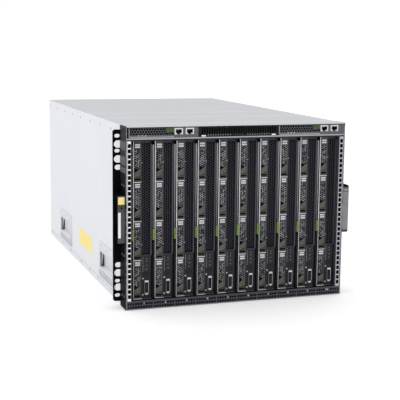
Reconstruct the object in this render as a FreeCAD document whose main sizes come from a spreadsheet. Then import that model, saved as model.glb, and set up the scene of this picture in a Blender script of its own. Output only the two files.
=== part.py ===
import FreeCAD, Part
import os
import Sketcher

# An 8U blade server chassis: ten blades in front, two management modules above them,
# fan trays and power supplies behind. Millimetres; X right, Y to the rear, Z up.
# The origin is the middle of the footprint at the bottom.

SIZES = [
    # blades and the drive bays in them
    ("blade_count", 10, "blades side by side"),
    ("blade_pitch", 43.0, "width of one blade slot"),
    ("blade_gap", 1.8, "space between two blades"),
    ("blade_recess", 10.0, "blade front behind the bezel edge"),
    ("blade_depth", 495.0, "blade front to blade rear"),
    ("blade_wall", 1.2, "blade sheet metal"),
    ("blade_panel", 2.0, "blade front panel"),
    ("blade_cap", 3.3, "blade height above the top bay"),
    ("blade_lid", 1.0, "blade side cover"),
    ("lid_margin", 1.0, "blade edge left bare round the cover"),
    ("bay_count", 4, "drive bays in a blade"),
    ("bay_pitch", 75.8, "height of one drive bay with its shelf"),
    ("bay_width", 15.4, "drive bay, clear width"),
    ("bay_depth", 114.0, "drive bay, front to back"),
    ("vent_width", 16.7, "air window in the blade front"),
    ("vent_side", 1.7, "plain strip right of the air window"),
    ("vent_low", 87.0, "air window above the blade bottom"),
    ("vent_cap", 4.0, "air window below the blade top"),
    ("exit_height", 150.0, "air window in the blade rear"),
    ("run_gap", 0.5, "running gap above and below a blade"),
    ("port_wide", 7.6, "front connector shell, width"),
    ("port_tall", 28.0, "front connector shell, height"),
    ("port_low", 9.0, "front connector above the blade bottom"),
    ("port_reach", 4.0, "front connector shell, height off the panel"),
    ("port_wall", 1.0, "front connector shell, wall"),
    ("plug_wide", 10.0, "rear plug, width"),
    ("plug_tall", 50.0, "rear plug, height"),
    ("plug_low", 14.0, "rear plug below the air window"),
    ("plug_reach", 8.0, "rear plug behind the blade"),
    # ejector lever and its catch
    ("lever_column", 4.0, "channel for lever and catch, width"),
    ("lever_side", 0.3, "clearance beside lever and catch"),
    ("lever_channel", 14.0, "channel for lever and catch, depth"),
    ("lever_depth", 9.0, "lever, front to back"),
    ("lever_tip", 3.5, "lever tip, front to back"),
    ("lever_taper", 30.0, "length over which the lever thins to its tip"),
    ("lever_corner", 3.0, "corner cut off the lever head"),
    ("pivot_drop", 9.0, "lever pivot below the blade top"),
    ("pivot_back", 5.0, "lever pivot behind the blade front"),
    ("pivot_radius", 1.5, "lever pivot pin"),
    ("pivot_fit", 0.06, "lever pivot clearance"),
    ("head_rise", 4.5, "lever head above its pivot"),
    ("latch_low", 115.0, "catch above the blade bottom"),
    ("latch_height", 22.0, "catch, height"),
    ("latch_depth", 8.0, "catch, front to back"),
    ("latch_proud", 0.8, "catch in front of the blade"),
    ("latch_travel", 3.0, "catch, way down"),
    ("latch_groove", 1.2, "finger groove in the catch"),
    ("latch_space", 1.5, "space between catch and lever"),
    # drive carriers
    ("drive_gap", 0.3, "clearance round a drive carrier"),
    ("drive_length", 108.0, "drive carrier, front to back"),
    ("field_wide", 11.6, "sunk field on a carrier, width"),
    ("field_drop", 12.6, "sunk field below the carrier top"),
    ("field_sink", 1.0, "sunk field, depth"),
    ("slant_left", 17.0, "carrier handle, height at its left"),
    ("slant_right", 25.0, "carrier handle, height at its right"),
    # guides, midplane and the space behind it
    ("deck", 1.5, "guide deck sheet"),
    ("rib_thick", 0.8, "guide rib, thickness"),
    ("rib_height", 6.0, "guide rib, height"),
    ("mate_gap", 0.5, "gap between plug and socket faces"),
    ("socket_reach", 6.0, "midplane socket, height off the board"),
    ("board", 3.0, "midplane board"),
    ("board_gap", 2.0, "midplane inside the panels"),
    ("window_wide", 16.0, "air window in the midplane, width"),
    ("window_tall", 150.0, "air window in the midplane, height"),
    ("rear_gap", 21.5, "space between midplane and rear modules"),
    # front frame and its grilles
    ("post_width", 9.5, "side post of the front frame"),
    ("post_wall", 1.2, "side post, inner wall"),
    ("frame_wall", 1.5, "front frame sheet"),
    ("frame_depth", 42.0, "front frame, front to back"),
    ("sill_height", 17.5, "lower edge of the blade opening"),
    ("rail_height", 5.0, "rail between blades and modules"),
    ("module_row", 19.8, "opening for the management modules"),
    ("grille", 1.2, "front grille sheet"),
    ("strip_hole_wide", 6.0, "side strip hole, width"),
    ("strip_hole_tall", 7.6, "side strip hole, height"),
    ("strip_hole_pitch", 10.0, "side strip hole to hole"),
    ("strip_hole_count", 30, "holes in a side strip"),
    ("sill_hole_wide", 40.0, "sill window, width"),
    ("sill_hole_tall", 4.4, "sill window, height"),
    ("sill_row_low", 5.0, "lower sill row, centre"),
    ("sill_row_pitch", 6.6, "sill row to row"),
    ("centre_width", 165.6, "centre grille"),
    ("centre_depth", 60.0, "centre grille, front to back"),
    ("centre_set", 2.0, "centre grille behind the bezel edge"),
    ("slot_wide", 2.4, "centre slot, width"),
    ("slot_tall", 11.0, "centre slot, height"),
    ("slot_pitch", 5.0, "centre slot to slot"),
    ("slot_margin", 5.0, "plain end of the centre grille"),
    ("slot_drop", 2.4, "centre slot below the row top"),
    # management modules
    ("module_gap", 0.4, "clearance round a module"),
    ("module_set", 2.0, "module front behind the bezel edge"),
    ("module_depth", 250.0, "module, front to back"),
    ("jack_wide", 11.8, "network socket, width"),
    ("jack_tall", 9.6, "network socket, height"),
    ("jack_depth", 13.0, "network socket, depth"),
    ("jack_rim", 2.4, "frame round a network socket"),
    ("jack_proud", 1.0, "frame off the module face"),
    ("jack_end", 11.5, "right socket from the module's right end"),
    ("jack_pitch", 22.0, "socket to socket"),
    ("jack_low", 6.0, "socket above the module bottom"),
    ("tab_wide", 12.0, "module catch, width"),
    ("tab_tall", 5.5, "module catch, height"),
    ("tab_deep", 5.0, "module catch, depth"),
    ("tab_gap", 0.4, "clearance round the module catch"),
    ("tab_travel", 2.5, "module catch, way down"),
    ("tab_end", 51.0, "module catch from the module's right end"),
    ("tab_proud", 0.8, "module catch off the module face"),
    # panels of the case
    ("sheet", 1.5, "case sheet metal"),
    ("side_step", 0.5, "side panels inside the front frame"),
    ("flange", 12.0, "turned edge of base and cover"),
    ("bead_wide", 1.5, "cross bead in the cover, width"),
    ("bead_sink", 0.5, "cross bead in the cover, depth"),
    ("bead_side", 8.0, "cross bead from the cover's sides"),
    ("bead_one", 53.0, "first bead from the front"),
    ("bead_two", 195.0, "second bead from the front"),
    ("bead_three", 320.0, "third bead from the front"),
    # rack ears and pull handles
    ("ear_thick", 2.0, "rack ear sheet"),
    ("ear_width", 14.8, "rack ear outside its leg"),
    ("ear_end", 9.0, "rack ear short of top and bottom"),
    ("ear_corner", 3.0, "corner cut off the rack ear"),
    ("hole_side", 6.06, "rack slot centre from the leg"),
    ("hole_radius", 3.5, "rack slot, half its height"),
    ("hole_run", 3.5, "rack slot, straight part"),
    ("hole_end", 20.825, "first rack slot from top and bottom"),
    ("hole_wide_step", 15.875, "wide rack step"),
    ("hole_near_step", 12.7, "narrow rack step"),
    ("notch_deep", 12.3, "large notch from the leg"),
    ("notch_half", 7.0, "large notch, half its height"),
    ("small_deep", 10.8, "small notch from the leg"),
    ("small_half", 5.0, "small notch, half its height"),
    ("notch_corner", 4.5, "corner cut off a large notch"),
    ("small_corner", 3.2, "corner cut off a small notch"),
    ("pull_height", 97.0, "pull handle, height"),
    ("pull_gap", 0.5, "pull handle beside the leg"),
    ("pull_set", 4.0, "pull handle behind the bezel edge"),
    ("pull_bar", 8.0, "pull handle bar"),
    ("pull_post", 12.0, "pull handle end"),
    ("pull_round", 5.0, "pull handle corner"),
    ("plug_up", 22.6, "wrist strap socket above the handle middle"),
    ("plug_body", 4.2, "wrist strap socket shank, half across its flats"),
    ("plug_rim", 5.0, "wrist strap socket nut, half across its flats"),
    ("plug_rim_thick", 1.0, "wrist strap socket nut, thickness"),
    ("plug_bore", 2.0, "wrist strap socket bore, radius"),
    ("plug_floor", 1.5, "wrist strap socket, closed end"),
    # side grips
    ("grip_length", 140.0, "grip plate, length"),
    ("grip_height", 74.0, "grip plate, height"),
    ("grip_low", 18.0, "grip plate above the bottom"),
    ("grip_lip", 1.2, "grip plate, thickness"),
    ("grip_corner", 5.0, "corner cut off a grip plate"),
    ("grip_front", 94.0, "front grip behind the bezel edge"),
    ("grip_step", 430.0, "front grip to rear grip"),
    ("cup_length", 120.0, "finger cup, length"),
    ("cup_height", 36.0, "finger cup, height"),
    ("cup_wall", 0.8, "finger cup, wall"),
    ("cup_room", 0.3, "finger cup clear of the blades"),
    # rear frame and what it carries
    ("rear_reach", 36.0, "rear handles behind the case"),
    ("rear_deep", 30.0, "rear frame, front to back"),
    ("rear_rail", 3.0, "rail of the rear frame"),
    ("rear_fit", 0.5, "clearance round a rear module"),
    ("psu_count", 4, "power supplies"),
    ("psu_height", 86.0, "opening for a power supply"),
    ("psu_depth", 260.0, "power supply, front to back"),
    ("inlet_wide", 24.0, "power inlet, width"),
    ("inlet_tall", 16.0, "power inlet, height"),
    ("inlet_deep", 16.0, "power inlet, depth"),
    ("inlet_side", 10.0, "power inlet from the supply's left side"),
    ("inlet_low", 10.0, "power inlet above the supply's bottom"),
    ("pull_wide", 10.0, "rear handle, width"),
    ("pull_tall", 64.0, "rear handle, height"),
    ("pull_thick", 8.0, "rear handle, thickness"),
    ("pull_side", 14.0, "rear handle from the module's right side"),
    ("blank_height", 32.0, "opening for a slot blank"),
    ("blank_rows", 3, "rows of slot blanks"),
    ("blank_deep", 20.0, "slot blank, front to back"),
    ("blank_sheet", 1.2, "slot blank sheet"),
    ("fan_depth", 150.0, "fan tray, front to back"),
    ("tray_wall", 2.0, "fan tray, wall"),
    ("tray_plate", 3.0, "fan tray, rear plate"),
    ("fan_margin", 7.0, "fan mouth from the tray's edge"),
    ("fan_tip", 1.5, "rotor tip clearance"),
    ("fan_set", 14.0, "rotor behind the tray face"),
    ("rotor_deep", 34.0, "rotor, front to back"),
    ("hub_radius", 30.0, "rotor hub"),
    ("vane_count", 7, "rotor vanes"),
    ("vane_thick", 3.0, "rotor vane"),
    ("vane_root", 2.0, "rotor vane, depth set into its hub"),
    ("vane_pitch", 38.0, "rotor vane, angle to the axis"),
    ("vane_chord", 30.0, "rotor vane, chord"),
    ("shaft_radius", 4.0, "rotor shaft"),
    ("shaft_fit", 0.06, "rotor shaft clearance"),
    ("spider_deep", 10.0, "rotor spider, front to back"),
    ("spider_wide", 8.0, "rotor spider arm"),
    ("spider_gap", 2.0, "rotor in front of its spider"),
]

NUMBER = {alias: value for alias, value, note in SIZES}

doc = FreeCAD.newDocument("blade_chassis")
sheet = doc.addObject("Spreadsheet::Sheet", "size")
for row, (alias, value, note) in enumerate(SIZES, start=1):
    sheet.set(f"A{row}", note)
    sheet.set(f"B{row}", str(value))
    sheet.setAlias(f"B{row}", alias)
doc.recompute()

# Widths, measured outwards from the middle.
ZONE = "(size.blade_count * size.blade_pitch / 2)"
FRAME = f"({ZONE} + size.post_width)"
LEG = f"({FRAME} + size.ear_thick)"
EAR = f"({LEG} + size.ear_width)"
SIDE = f"({FRAME} - size.side_step)"
INSIDE = f"({SIDE} - size.sheet)"
ROW_HALF = f"({INSIDE} - size.sheet)"

# Heights, measured up from the bottom.
BLADE_LOW = "(size.sill_height + size.run_gap)"
BLADE_TALL = "(size.bay_count * size.bay_pitch + size.blade_cap)"
BLADE_TOP = f"({BLADE_LOW} + {BLADE_TALL})"
RAIL_LOW = f"({BLADE_TOP} + size.run_gap)"
RAIL_TOP = f"({RAIL_LOW} + size.rail_height)"
ROW_TOP = f"({RAIL_TOP} + size.module_row)"
COVER_LOW = f"({ROW_TOP} + size.frame_wall)"
HEIGHT = f"({COVER_LOW} + size.sheet)"

# Depths: MID is the midplane's front and DEPTH the case, both from the bezel edge.
MID = "(size.blade_recess + size.blade_depth + size.plug_reach + size.mate_gap + size.socket_reach)"
DEPTH = f"({MID} + size.board + size.rear_gap + size.psu_depth)"
FRONT = f"(-({DEPTH} + size.rear_reach) / 2)"
BACK = f"({FRONT} + {DEPTH})"

# The first blade, at the left; the others are copies of it.
BLADE_LEFT = f"(-{ZONE} + size.blade_gap / 2)"
BLADE_WIDE = "(size.blade_pitch - size.blade_gap)"
SHELL_WIDE = f"({BLADE_WIDE} - size.blade_lid)"
BLADE_FACE = f"({FRONT} + size.blade_recess)"
BLADE_BACK = f"({BLADE_FACE} + size.blade_depth)"
BAY_LEFT = f"({BLADE_LEFT} + size.lever_column + size.blade_wall)"
BAY_LOW = f"({BLADE_LOW} + size.blade_wall)"
BAY_TALL = "(size.bay_pitch - size.blade_wall)"


class Piece:
    """One solid drawn with sketches on its own planes, every size an expression."""

    def __init__(self, name):
        self.name = name
        self.body = doc.addObject("PartDesign::Body", name)
        self.steps = 0

    def sketch(self, role, place):
        self.steps += 1
        made = self.body.newObject("Sketcher::SketchObject", f"{self.name}_sketch_{self.steps}")
        planes = [plane for plane in self.body.Origin.OriginFeatures if plane.Role == role]
        made.AttachmentSupport = [(planes[0], "")]
        made.MapMode = "FlatFace"
        made.setExpression("AttachmentOffset.Base.z", place)
        return made

    def facing(self, depth):
        """Seen from the front: right and up. Solids grow to the rear."""
        return self.sketch("XZ_Plane", f"-({depth})")

    def beside(self, across):
        """Seen from the right side: rear and up. Solids grow to the right."""
        return self.sketch("YZ_Plane", across)

    def above(self, level):
        """Seen from above: right and rear. Solids grow upwards."""
        return self.sketch("XY_Plane", level)

    def feature(self, kind, profile, length, turned):
        self.steps += 1
        made = self.body.newObject(f"PartDesign::{kind}", f"{self.name}_{kind}_{self.steps}".lower())
        made.Profile = profile
        made.Reversed = turned
        if length is None:
            made.Type = "ThroughAll"
        else:
            made.setExpression("Length", length)
        return made

    def pad(self, profile, length, turned=False):
        return self.feature("Pad", profile, length, turned)

    def cut(self, profile, length=None, turned=False):
        return self.feature("Pocket", profile, length, turned)

    def row(self, made, profile, axis, step, count):
        """Repeat a feature along one axis of its sketch."""
        self.steps += 1
        pattern = self.body.newObject("PartDesign::LinearPattern", f"{self.name}_row_{self.steps}")
        pattern.Originals = [made]
        pattern.Direction = (profile, [axis])
        pattern.setExpression("Length", f"({step}) * ({count} - 1)")
        pattern.setExpression("Occurrences", count)
        self.body.Tip = pattern
        return pattern

    def soften(self, kind, size, chosen):
        """Round or cut off the straight edges whose middle and direction pass the test."""
        doc.recompute()
        self.steps += 1
        base = self.body.Tip
        names = []
        for number, edge in enumerate(base.Shape.Edges, start=1):
            if edge.Curve.TypeId != "Part::GeomLine":
                continue
            along = edge.Vertexes[1].Point.sub(edge.Vertexes[0].Point)
            if chosen(edge.CenterOfMass, along.normalize(), base.Shape.BoundBox):
                names.append(f"Edge{number}")
        made = self.body.newObject(f"PartDesign::{kind}", f"{self.name}_{kind}_{self.steps}".lower())
        made.Base = (base, names)
        made.setExpression("Radius" if kind == "Fillet" else "Size", size)
        return made


def bind(sketch, kind, first, second, size):
    """One dimension of a sketch, held by an expression."""
    number = sketch.addConstraint(Sketcher.Constraint(kind, *first, *second, 10.0))
    sketch.renameConstraint(number, f"size_{number}")
    sketch.setExpression(f"Constraints.size_{number}", size)


def polygon(sketch, corners):
    """A closed outline whose corners are pairs of expressions."""
    start = sketch.GeometryCount
    count = len(corners)
    for turn in range(count):
        here = FreeCAD.Vector(turn * 7 % 11, turn * 5 % 13, 0)
        there = FreeCAD.Vector((turn + 1) * 7 % 11, (turn + 1) * 5 % 13, 0)
        sketch.addGeometry(Part.LineSegment(here, there), False)
    for turn in range(count):
        follows = start + (turn + 1) % count
        sketch.addConstraint(Sketcher.Constraint("Coincident", start + turn, 2, follows, 1))
    for turn, (across, up) in enumerate(corners):
        bind(sketch, "DistanceX", (-1, 1), (start + turn, 1), across)
        bind(sketch, "DistanceY", (-1, 1), (start + turn, 1), up)


def rectangle(sketch, left, low, wide, tall):
    right = f"({left}) + ({wide})"
    high = f"({low}) + ({tall})"
    polygon(sketch, [(left, low), (right, low), (right, high), (left, high)])


def regular(sketch, across, up, half, sides):
    """An even outline of so many sides, half across its flats, with a flat on top."""
    corners = []
    for turn in range(sides):
        angle = 90 + (turn + 0.5) * 360 / sides
        out = f"{half} / cos({180 / sides} deg)"
        corners.append((f"{across} + {out} * cos({angle} deg)", f"{up} + {out} * sin({angle} deg)"))
    polygon(sketch, corners)


def circle(sketch, across, up, radius):
    centre = FreeCAD.Vector(1, 1, 0)
    number = sketch.addGeometry(Part.Circle(centre, FreeCAD.Vector(0, 0, 1), 1), False)
    bind(sketch, "DistanceX", (-1, 1), (number, 3), across)
    bind(sketch, "DistanceY", (-1, 1), (number, 3), up)
    hold(sketch, number, radius)


def hold(sketch, number, radius):
    """The radius of a circle or an arc, held by an expression."""
    held = sketch.addConstraint(Sketcher.Constraint("Radius", number, 1.0))
    sketch.renameConstraint(held, f"size_{held}")
    sketch.setExpression(f"Constraints.size_{held}", radius)


def box(name, corner, lengths):
    """A plain block from its lowest corner and its three lengths."""
    made = doc.addObject("Part::Box", name)
    for prop, size in zip(("Length", "Width", "Height"), lengths):
        made.setExpression(prop, size)
    for axis, place in zip("xyz", corner):
        made.setExpression(f"Placement.Base.{axis}", place)
    return made


def rod(name, radius, length, corner):
    """A round bar that runs to the rear from the middle of its front end."""
    made = doc.addObject("Part::Cylinder", name)
    made.setExpression("Radius", radius)
    made.setExpression("Height", length)
    made.Placement.Rotation = FreeCAD.Rotation(FreeCAD.Vector(1, 0, 0), -90)
    for axis, place in zip("xyz", corner):
        made.setExpression(f"Placement.Base.{axis}", place)
    return made


def shank(name, half, length, corner):
    """A six-sided bar that runs to the rear, half across its flats."""
    made = doc.addObject("Part::Prism", name)
    made.Polygon = 6
    made.setExpression("Circumradius", f"{half} / cos(30 deg)")
    made.setExpression("Height", length)
    made.Placement.Rotation = FreeCAD.Rotation(FreeCAD.Vector(1, 0, 0), -90)
    for axis, place in zip("xyz", corner):
        made.setExpression(f"Placement.Base.{axis}", place)
    return made


def join(kind, name, base, tool):
    made = doc.addObject(f"Part::{kind}", name)
    made.Base = base
    made.Tool = tool
    return made


def mirror(name, source, normal=(1, 0, 0), level=None):
    made = doc.addObject("Part::Mirroring", name)
    made.Source = source
    made.Normal = FreeCAD.Vector(*normal)
    if level is not None:
        made.setExpression("Base.z", level)
    return made


def copy(name, source, **moves):
    """A copy of one piece, moved along x, y or z."""
    made = doc.addObject("App::Link", name)
    made.LinkedObject = source
    made.LinkTransform = True
    for axis, way in moves.items():
        made.setExpression(f"Placement.Base.{axis}", way)
    return made


def group(name, members):
    made = doc.addObject("Part::Compound", name)
    made.Links = members
    return made


nodes = []


def node(label, thing):
    """One finished sub-part of the chassis."""
    thing.Label = label
    nodes.append((label, thing))
    return thing


# Base panel: a floor sheet with both long edges turned up inside the side panels.
EDGE_FROM = f"({FRONT} + size.frame_depth)"
EDGE_LONG = f"({DEPTH} - size.frame_depth - size.rear_deep)"
base = Piece("base_panel")
floor = base.above("0")
rectangle(floor, f"-{INSIDE}", EDGE_FROM, f"2 * {INSIDE}", f"{DEPTH} - size.frame_depth")
base.pad(floor, "size.sheet")
edges = base.facing(EDGE_FROM)
rectangle(edges, f"-{INSIDE}", "size.sheet", "size.sheet", "size.flange")
rectangle(edges, f"{INSIDE} - size.sheet", "size.sheet", "size.sheet", "size.flange")
base.pad(edges, EDGE_LONG, turned=True)
node("base_panel", base.body)

# Top cover: reaches to the bezel edge, with turned-down edges and three cross beads.
cover = Piece("top_cover")
roof = cover.above(COVER_LOW)
rectangle(roof, f"-{SIDE}", FRONT, f"2 * {SIDE}", DEPTH)
cover.pad(roof, "size.sheet")
edges = cover.facing(EDGE_FROM)
rectangle(edges, f"-{INSIDE}", f"{COVER_LOW} - size.flange", "size.sheet", "size.flange")
rectangle(edges, f"{INSIDE} - size.sheet", f"{COVER_LOW} - size.flange", "size.sheet", "size.flange")
cover.pad(edges, EDGE_LONG, turned=True)
beads = cover.above(HEIGHT)
for bead in ("bead_one", "bead_two", "bead_three"):
    rectangle(beads, f"-{SIDE} + size.bead_side", f"{FRONT} + size.{bead}",
              f"2 * ({SIDE} - size.bead_side)", "size.bead_wide")
cover.cut(beads, "size.bead_sink")
node("top_cover", cover.body)

# Side panels: a tall upper sheet, a low rail and three posts, flush, with the finger cups between the posts.
CUP_MARGIN = "((size.grip_length - size.cup_length) / 2)"
CUP_LOW = "(size.grip_low + (size.grip_height - size.cup_height) / 2)"
POST_LOW = f"({CUP_LOW} - size.cup_wall)"
POST_TALL = "(size.cup_height + 2 * size.cup_wall)"
CUP_FROM = f"({FRONT} + size.grip_front + {CUP_MARGIN} - size.cup_wall)"
CUP_OPEN = "(size.cup_length + 2 * size.cup_wall)"
SIDE_LONG = f"({DEPTH} - size.frame_depth)"
side_sheets = [
    ("left_upper_sheet", EDGE_FROM, f"{POST_LOW} + {POST_TALL}", SIDE_LONG,
     f"{COVER_LOW} - {POST_LOW} - {POST_TALL}"),
    ("left_low_rail", EDGE_FROM, "0", SIDE_LONG, POST_LOW),
    ("left_front_post", EDGE_FROM, POST_LOW, f"{CUP_FROM} - {EDGE_FROM}", POST_TALL),
    ("left_middle_post", f"{CUP_FROM} + {CUP_OPEN}", POST_LOW, f"size.grip_step - {CUP_OPEN}", POST_TALL),
    ("left_rear_post", f"{CUP_FROM} + {CUP_OPEN} + size.grip_step", POST_LOW,
     f"{EDGE_FROM} + {SIDE_LONG} - {CUP_FROM} - {CUP_OPEN} - size.grip_step", POST_TALL),
]
left_sheets = []
for label, from_front, low, long, tall in side_sheets:
    sheet = Piece(label)
    outline = sheet.beside(f"-{SIDE}")
    rectangle(outline, from_front, low, long, tall)
    sheet.pad(outline, "size.sheet")
    left_sheets.append(sheet.body)
left_side = group("left_panel", left_sheets)
node("side_panels", group("panels", [left_side, mirror("right_panel", left_side)]))

# Side grips: a plate on the panel with a shallow finger cup pressed inwards.
CUP_DEEP = f"({SIDE} - {ZONE} - size.cup_room - size.cup_wall)"
grip = Piece("grip_plate")
plate = grip.beside(f"-({SIDE} + size.grip_lip)")
rectangle(plate, f"{FRONT} + size.grip_front", "size.grip_low", "size.grip_length", "size.grip_height")
grip.pad(plate, "size.grip_lip")
grip.soften("Chamfer", "size.grip_corner", lambda middle, way, bounds: abs(way.x) > 0.9)
cup = grip.beside(f"-{SIDE}")
rectangle(cup, f"{FRONT} + size.grip_front + {CUP_MARGIN} - size.cup_wall", f"{CUP_LOW} - size.cup_wall",
          "size.cup_length + 2 * size.cup_wall", "size.cup_height + 2 * size.cup_wall")
grip.pad(cup, f"{CUP_DEEP} + size.cup_wall")
hollow = grip.beside(f"-({SIDE} + size.grip_lip)")
rectangle(hollow, f"{FRONT} + size.grip_front + {CUP_MARGIN}", CUP_LOW, "size.cup_length", "size.cup_height")
grip.cut(hollow, f"size.grip_lip + {CUP_DEEP}", turned=True)
rear_grip = copy("grip_left_rear", grip.body, y="size.grip_step")
left_grips = group("grips_left", [grip.body, rear_grip])
node("side_grips", group("grips", [left_grips, mirror("grips_right", left_grips)]))

# Front frame: thin walls round the blade opening, the module row and the air channels.
FRAME_FACE = f"({FRONT} + size.grille)"
frame = Piece("front_frame")
ring = frame.facing(FRAME_FACE)
rectangle(ring, f"-{FRAME}", "0", f"2 * {FRAME}", COVER_LOW)
frame.pad(ring, "size.frame_depth - size.grille", turned=True)
windows = frame.facing(FRAME_FACE)
rectangle(windows, f"-{ZONE}", "size.sill_height", f"2 * {ZONE}", f"{RAIL_LOW} - size.sill_height")
rectangle(windows, f"-{ROW_HALF}", RAIL_TOP, f"2 * {ROW_HALF}", "size.module_row")
CHANNEL = "(size.post_width - size.frame_wall - size.post_wall)"
rectangle(windows, f"-{FRAME} + size.frame_wall", "size.sill_height", CHANNEL,
          f"{RAIL_LOW} - size.sill_height")
rectangle(windows, f"{ZONE} + size.post_wall", "size.sill_height", CHANNEL,
          f"{RAIL_LOW} - size.sill_height")
rectangle(windows, f"-{FRAME} + size.frame_wall", "size.frame_wall", f"2 * ({FRAME} - size.frame_wall)",
          "size.sill_height - size.deck - size.frame_wall")
frame.cut(windows)
node("front_frame", frame.body)

# Side vent strips: ladders of square holes in front of the post channels.
strip = Piece("vent_strip")
ladder = strip.facing(FRONT)
rectangle(ladder, f"-{FRAME}", "size.sill_height", "size.post_width", f"{RAIL_LOW} - size.sill_height")
strip.pad(ladder, "size.grille", turned=True)
hole = strip.facing(FRONT)
STRIP_MIDDLE = f"({FRAME} - size.frame_wall - {CHANNEL} / 2)"
STRIP_FIRST = f"((size.sill_height + {RAIL_LOW} - size.strip_hole_pitch * (size.strip_hole_count - 1)) / 2)"
rectangle(hole, f"-{STRIP_MIDDLE} - size.strip_hole_wide / 2", f"{STRIP_FIRST} - size.strip_hole_tall / 2",
          "size.strip_hole_wide", "size.strip_hole_tall")
strip.row(strip.cut(hole), hole, "V_Axis", "size.strip_hole_pitch", "size.strip_hole_count")

# Bottom grille: two rows of air windows along the sill, one below each blade.
sill = Piece("bottom_grille")
bar = sill.facing(FRONT)
rectangle(bar, f"-{FRAME}", "0", f"2 * {FRAME}", "size.sill_height")
sill.pad(bar, "size.grille", turned=True)
hole = sill.facing(FRONT)
SILL_FIRST = f"(-{ZONE} + (size.blade_pitch - size.sill_hole_wide) / 2)"
for level in ("size.sill_row_low", "size.sill_row_low + size.sill_row_pitch"):
    rectangle(hole, SILL_FIRST, f"{level} - size.sill_hole_tall / 2", "size.sill_hole_wide",
              "size.sill_hole_tall")
sill.row(sill.cut(hole), hole, "H_Axis", "size.blade_pitch", "size.blade_count")
right_strip = mirror("vent_strip_right", strip.body)
node("front_grilles", group("grilles", [strip.body, right_strip, sill.body]))

# Centre grille: a channel between the module bays with upright slots in its face.
centre = Piece("center_grille")
CENTRE_FACE = f"({FRONT} + size.centre_set)"
face = centre.facing(CENTRE_FACE)
rectangle(face, "-size.centre_width / 2", RAIL_TOP, "size.centre_width", "size.module_row")
centre.pad(face, "size.grille", turned=True)
cheeks = centre.facing(CENTRE_FACE)
rectangle(cheeks, "-size.centre_width / 2", RAIL_TOP, "size.grille", "size.module_row")
rectangle(cheeks, "size.centre_width / 2 - size.grille", RAIL_TOP, "size.grille", "size.module_row")
centre.pad(cheeks, "size.centre_depth", turned=True)
slot = centre.facing(CENTRE_FACE)
SLOT_COUNT = "floor((size.centre_width - 2 * size.slot_margin) / size.slot_pitch)"
SLOT_FIRST = f"(-size.slot_pitch * ({SLOT_COUNT} - 1) / 2 - size.slot_wide / 2)"
rectangle(slot, SLOT_FIRST, f"{ROW_TOP} - size.slot_drop - size.slot_tall", "size.slot_wide",
          "size.slot_tall")
centre.row(centre.cut(slot, "2 * size.grille"), slot, "H_Axis", "size.slot_pitch", SLOT_COUNT)
node("center_grille", centre.body)

# Rack ears: a leg on the front frame's side and a flange with the rack slots and notches.
ear = Piece("ear")
leg = ear.beside(f"-{LEG}")
rectangle(leg, FRONT, "0", "size.frame_depth + size.ear_thick", HEIGHT)
ear.pad(leg, "size.ear_thick")
flange = ear.facing(EDGE_FROM)
rectangle(flange, f"-{EAR}", "size.ear_end", "size.ear_width", f"{HEIGHT} - 2 * size.ear_end")
ear.pad(flange, "size.ear_thick", turned=True)
ear.soften("Chamfer", "size.ear_corner",
           lambda middle, way, bounds: abs(way.y) > 0.9 and middle.x < bounds.XMin + 0.01)
SLOT_ONE = "size.hole_end"
NOTCH_ONE = f"{SLOT_ONE} + size.hole_wide_step"
SLOT_TWO = f"{NOTCH_ONE} + size.hole_near_step"
NOTCH_TWO = f"{SLOT_TWO} + size.hole_wide_step"
NOTCH_THREE = f"{NOTCH_TWO} + size.hole_wide_step"
SLOT_LEFT = f"-({LEG} + size.hole_side) - size.hole_run / 2"
straight = ear.facing(EDGE_FROM)
outer_ends = ear.facing(EDGE_FROM)
inner_ends = ear.facing(EDGE_FROM)
for level in (SLOT_ONE, SLOT_TWO):
    for up in (level, f"{HEIGHT} - ({level})"):
        rectangle(straight, SLOT_LEFT, f"{up} - size.hole_radius", "size.hole_run", "2 * size.hole_radius")
        circle(outer_ends, SLOT_LEFT, up, "size.hole_radius")
        circle(inner_ends, f"{SLOT_LEFT} + size.hole_run", up, "size.hole_radius")
notches = ear.facing(EDGE_FROM)
for level, kind in ((NOTCH_ONE, "notch"), (NOTCH_TWO, "notch"), (NOTCH_THREE, "small")):
    half = f"size.{kind}_half"
    far = f"-({LEG} + size.{kind}_deep)"
    corner = f"size.{kind}_corner"
    near = f"{far} + {corner}"
    for up in (level, f"{HEIGHT} - ({level})"):
        low = f"{up} - {half}"
        high = f"{up} + {half}"
        polygon(notches, [(f"-{LEG}", low), (f"-{LEG}", high), (near, high),
                          (far, f"{high} - {corner}"), (far, f"{low} + {corner}"), (near, low)])
for profile in (straight, outer_ends, inner_ends, notches):
    ear.cut(profile, "size.ear_thick")
node("rack_ears", group("ears", [ear.body, mirror("ear_right", ear.body)]))

# Pull handles: one in front of each rack ear, with a finger gap behind the bar.
PULL_MID = f"({HEIGHT} / 2)"
PULL_LOW = f"({PULL_MID} - size.pull_height / 2)"
PULL_FACE = f"({FRONT} + size.pull_set)"
pull = Piece("pull")
outline = pull.beside(f"-{EAR}")
rectangle(outline, PULL_FACE, PULL_LOW, "size.frame_depth - size.pull_set", "size.pull_height")
pull.pad(outline, "size.ear_width - size.pull_gap")
gap = pull.beside(f"-{EAR}")
rectangle(gap, f"{PULL_FACE} + size.pull_bar", f"{PULL_LOW} + size.pull_post",
          "size.frame_depth - size.pull_set - size.pull_bar", "size.pull_height - 2 * size.pull_post")
pull.cut(gap, turned=True)
pull.soften("Fillet", "size.pull_round",
            lambda middle, way, bounds: abs(way.x) > 0.9 and middle.y < bounds.YMin + 0.01)
JACK_X = f"-({LEG} + size.pull_gap + (size.ear_width - size.pull_gap) / 2)"
JACK_Z = f"{PULL_MID} + size.plug_up"
seat = shank("strap_seat", "size.plug_body", "size.pull_bar", (JACK_X, PULL_FACE, JACK_Z))
left_pull = join("Cut", "pull_left", pull.body, seat)
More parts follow.
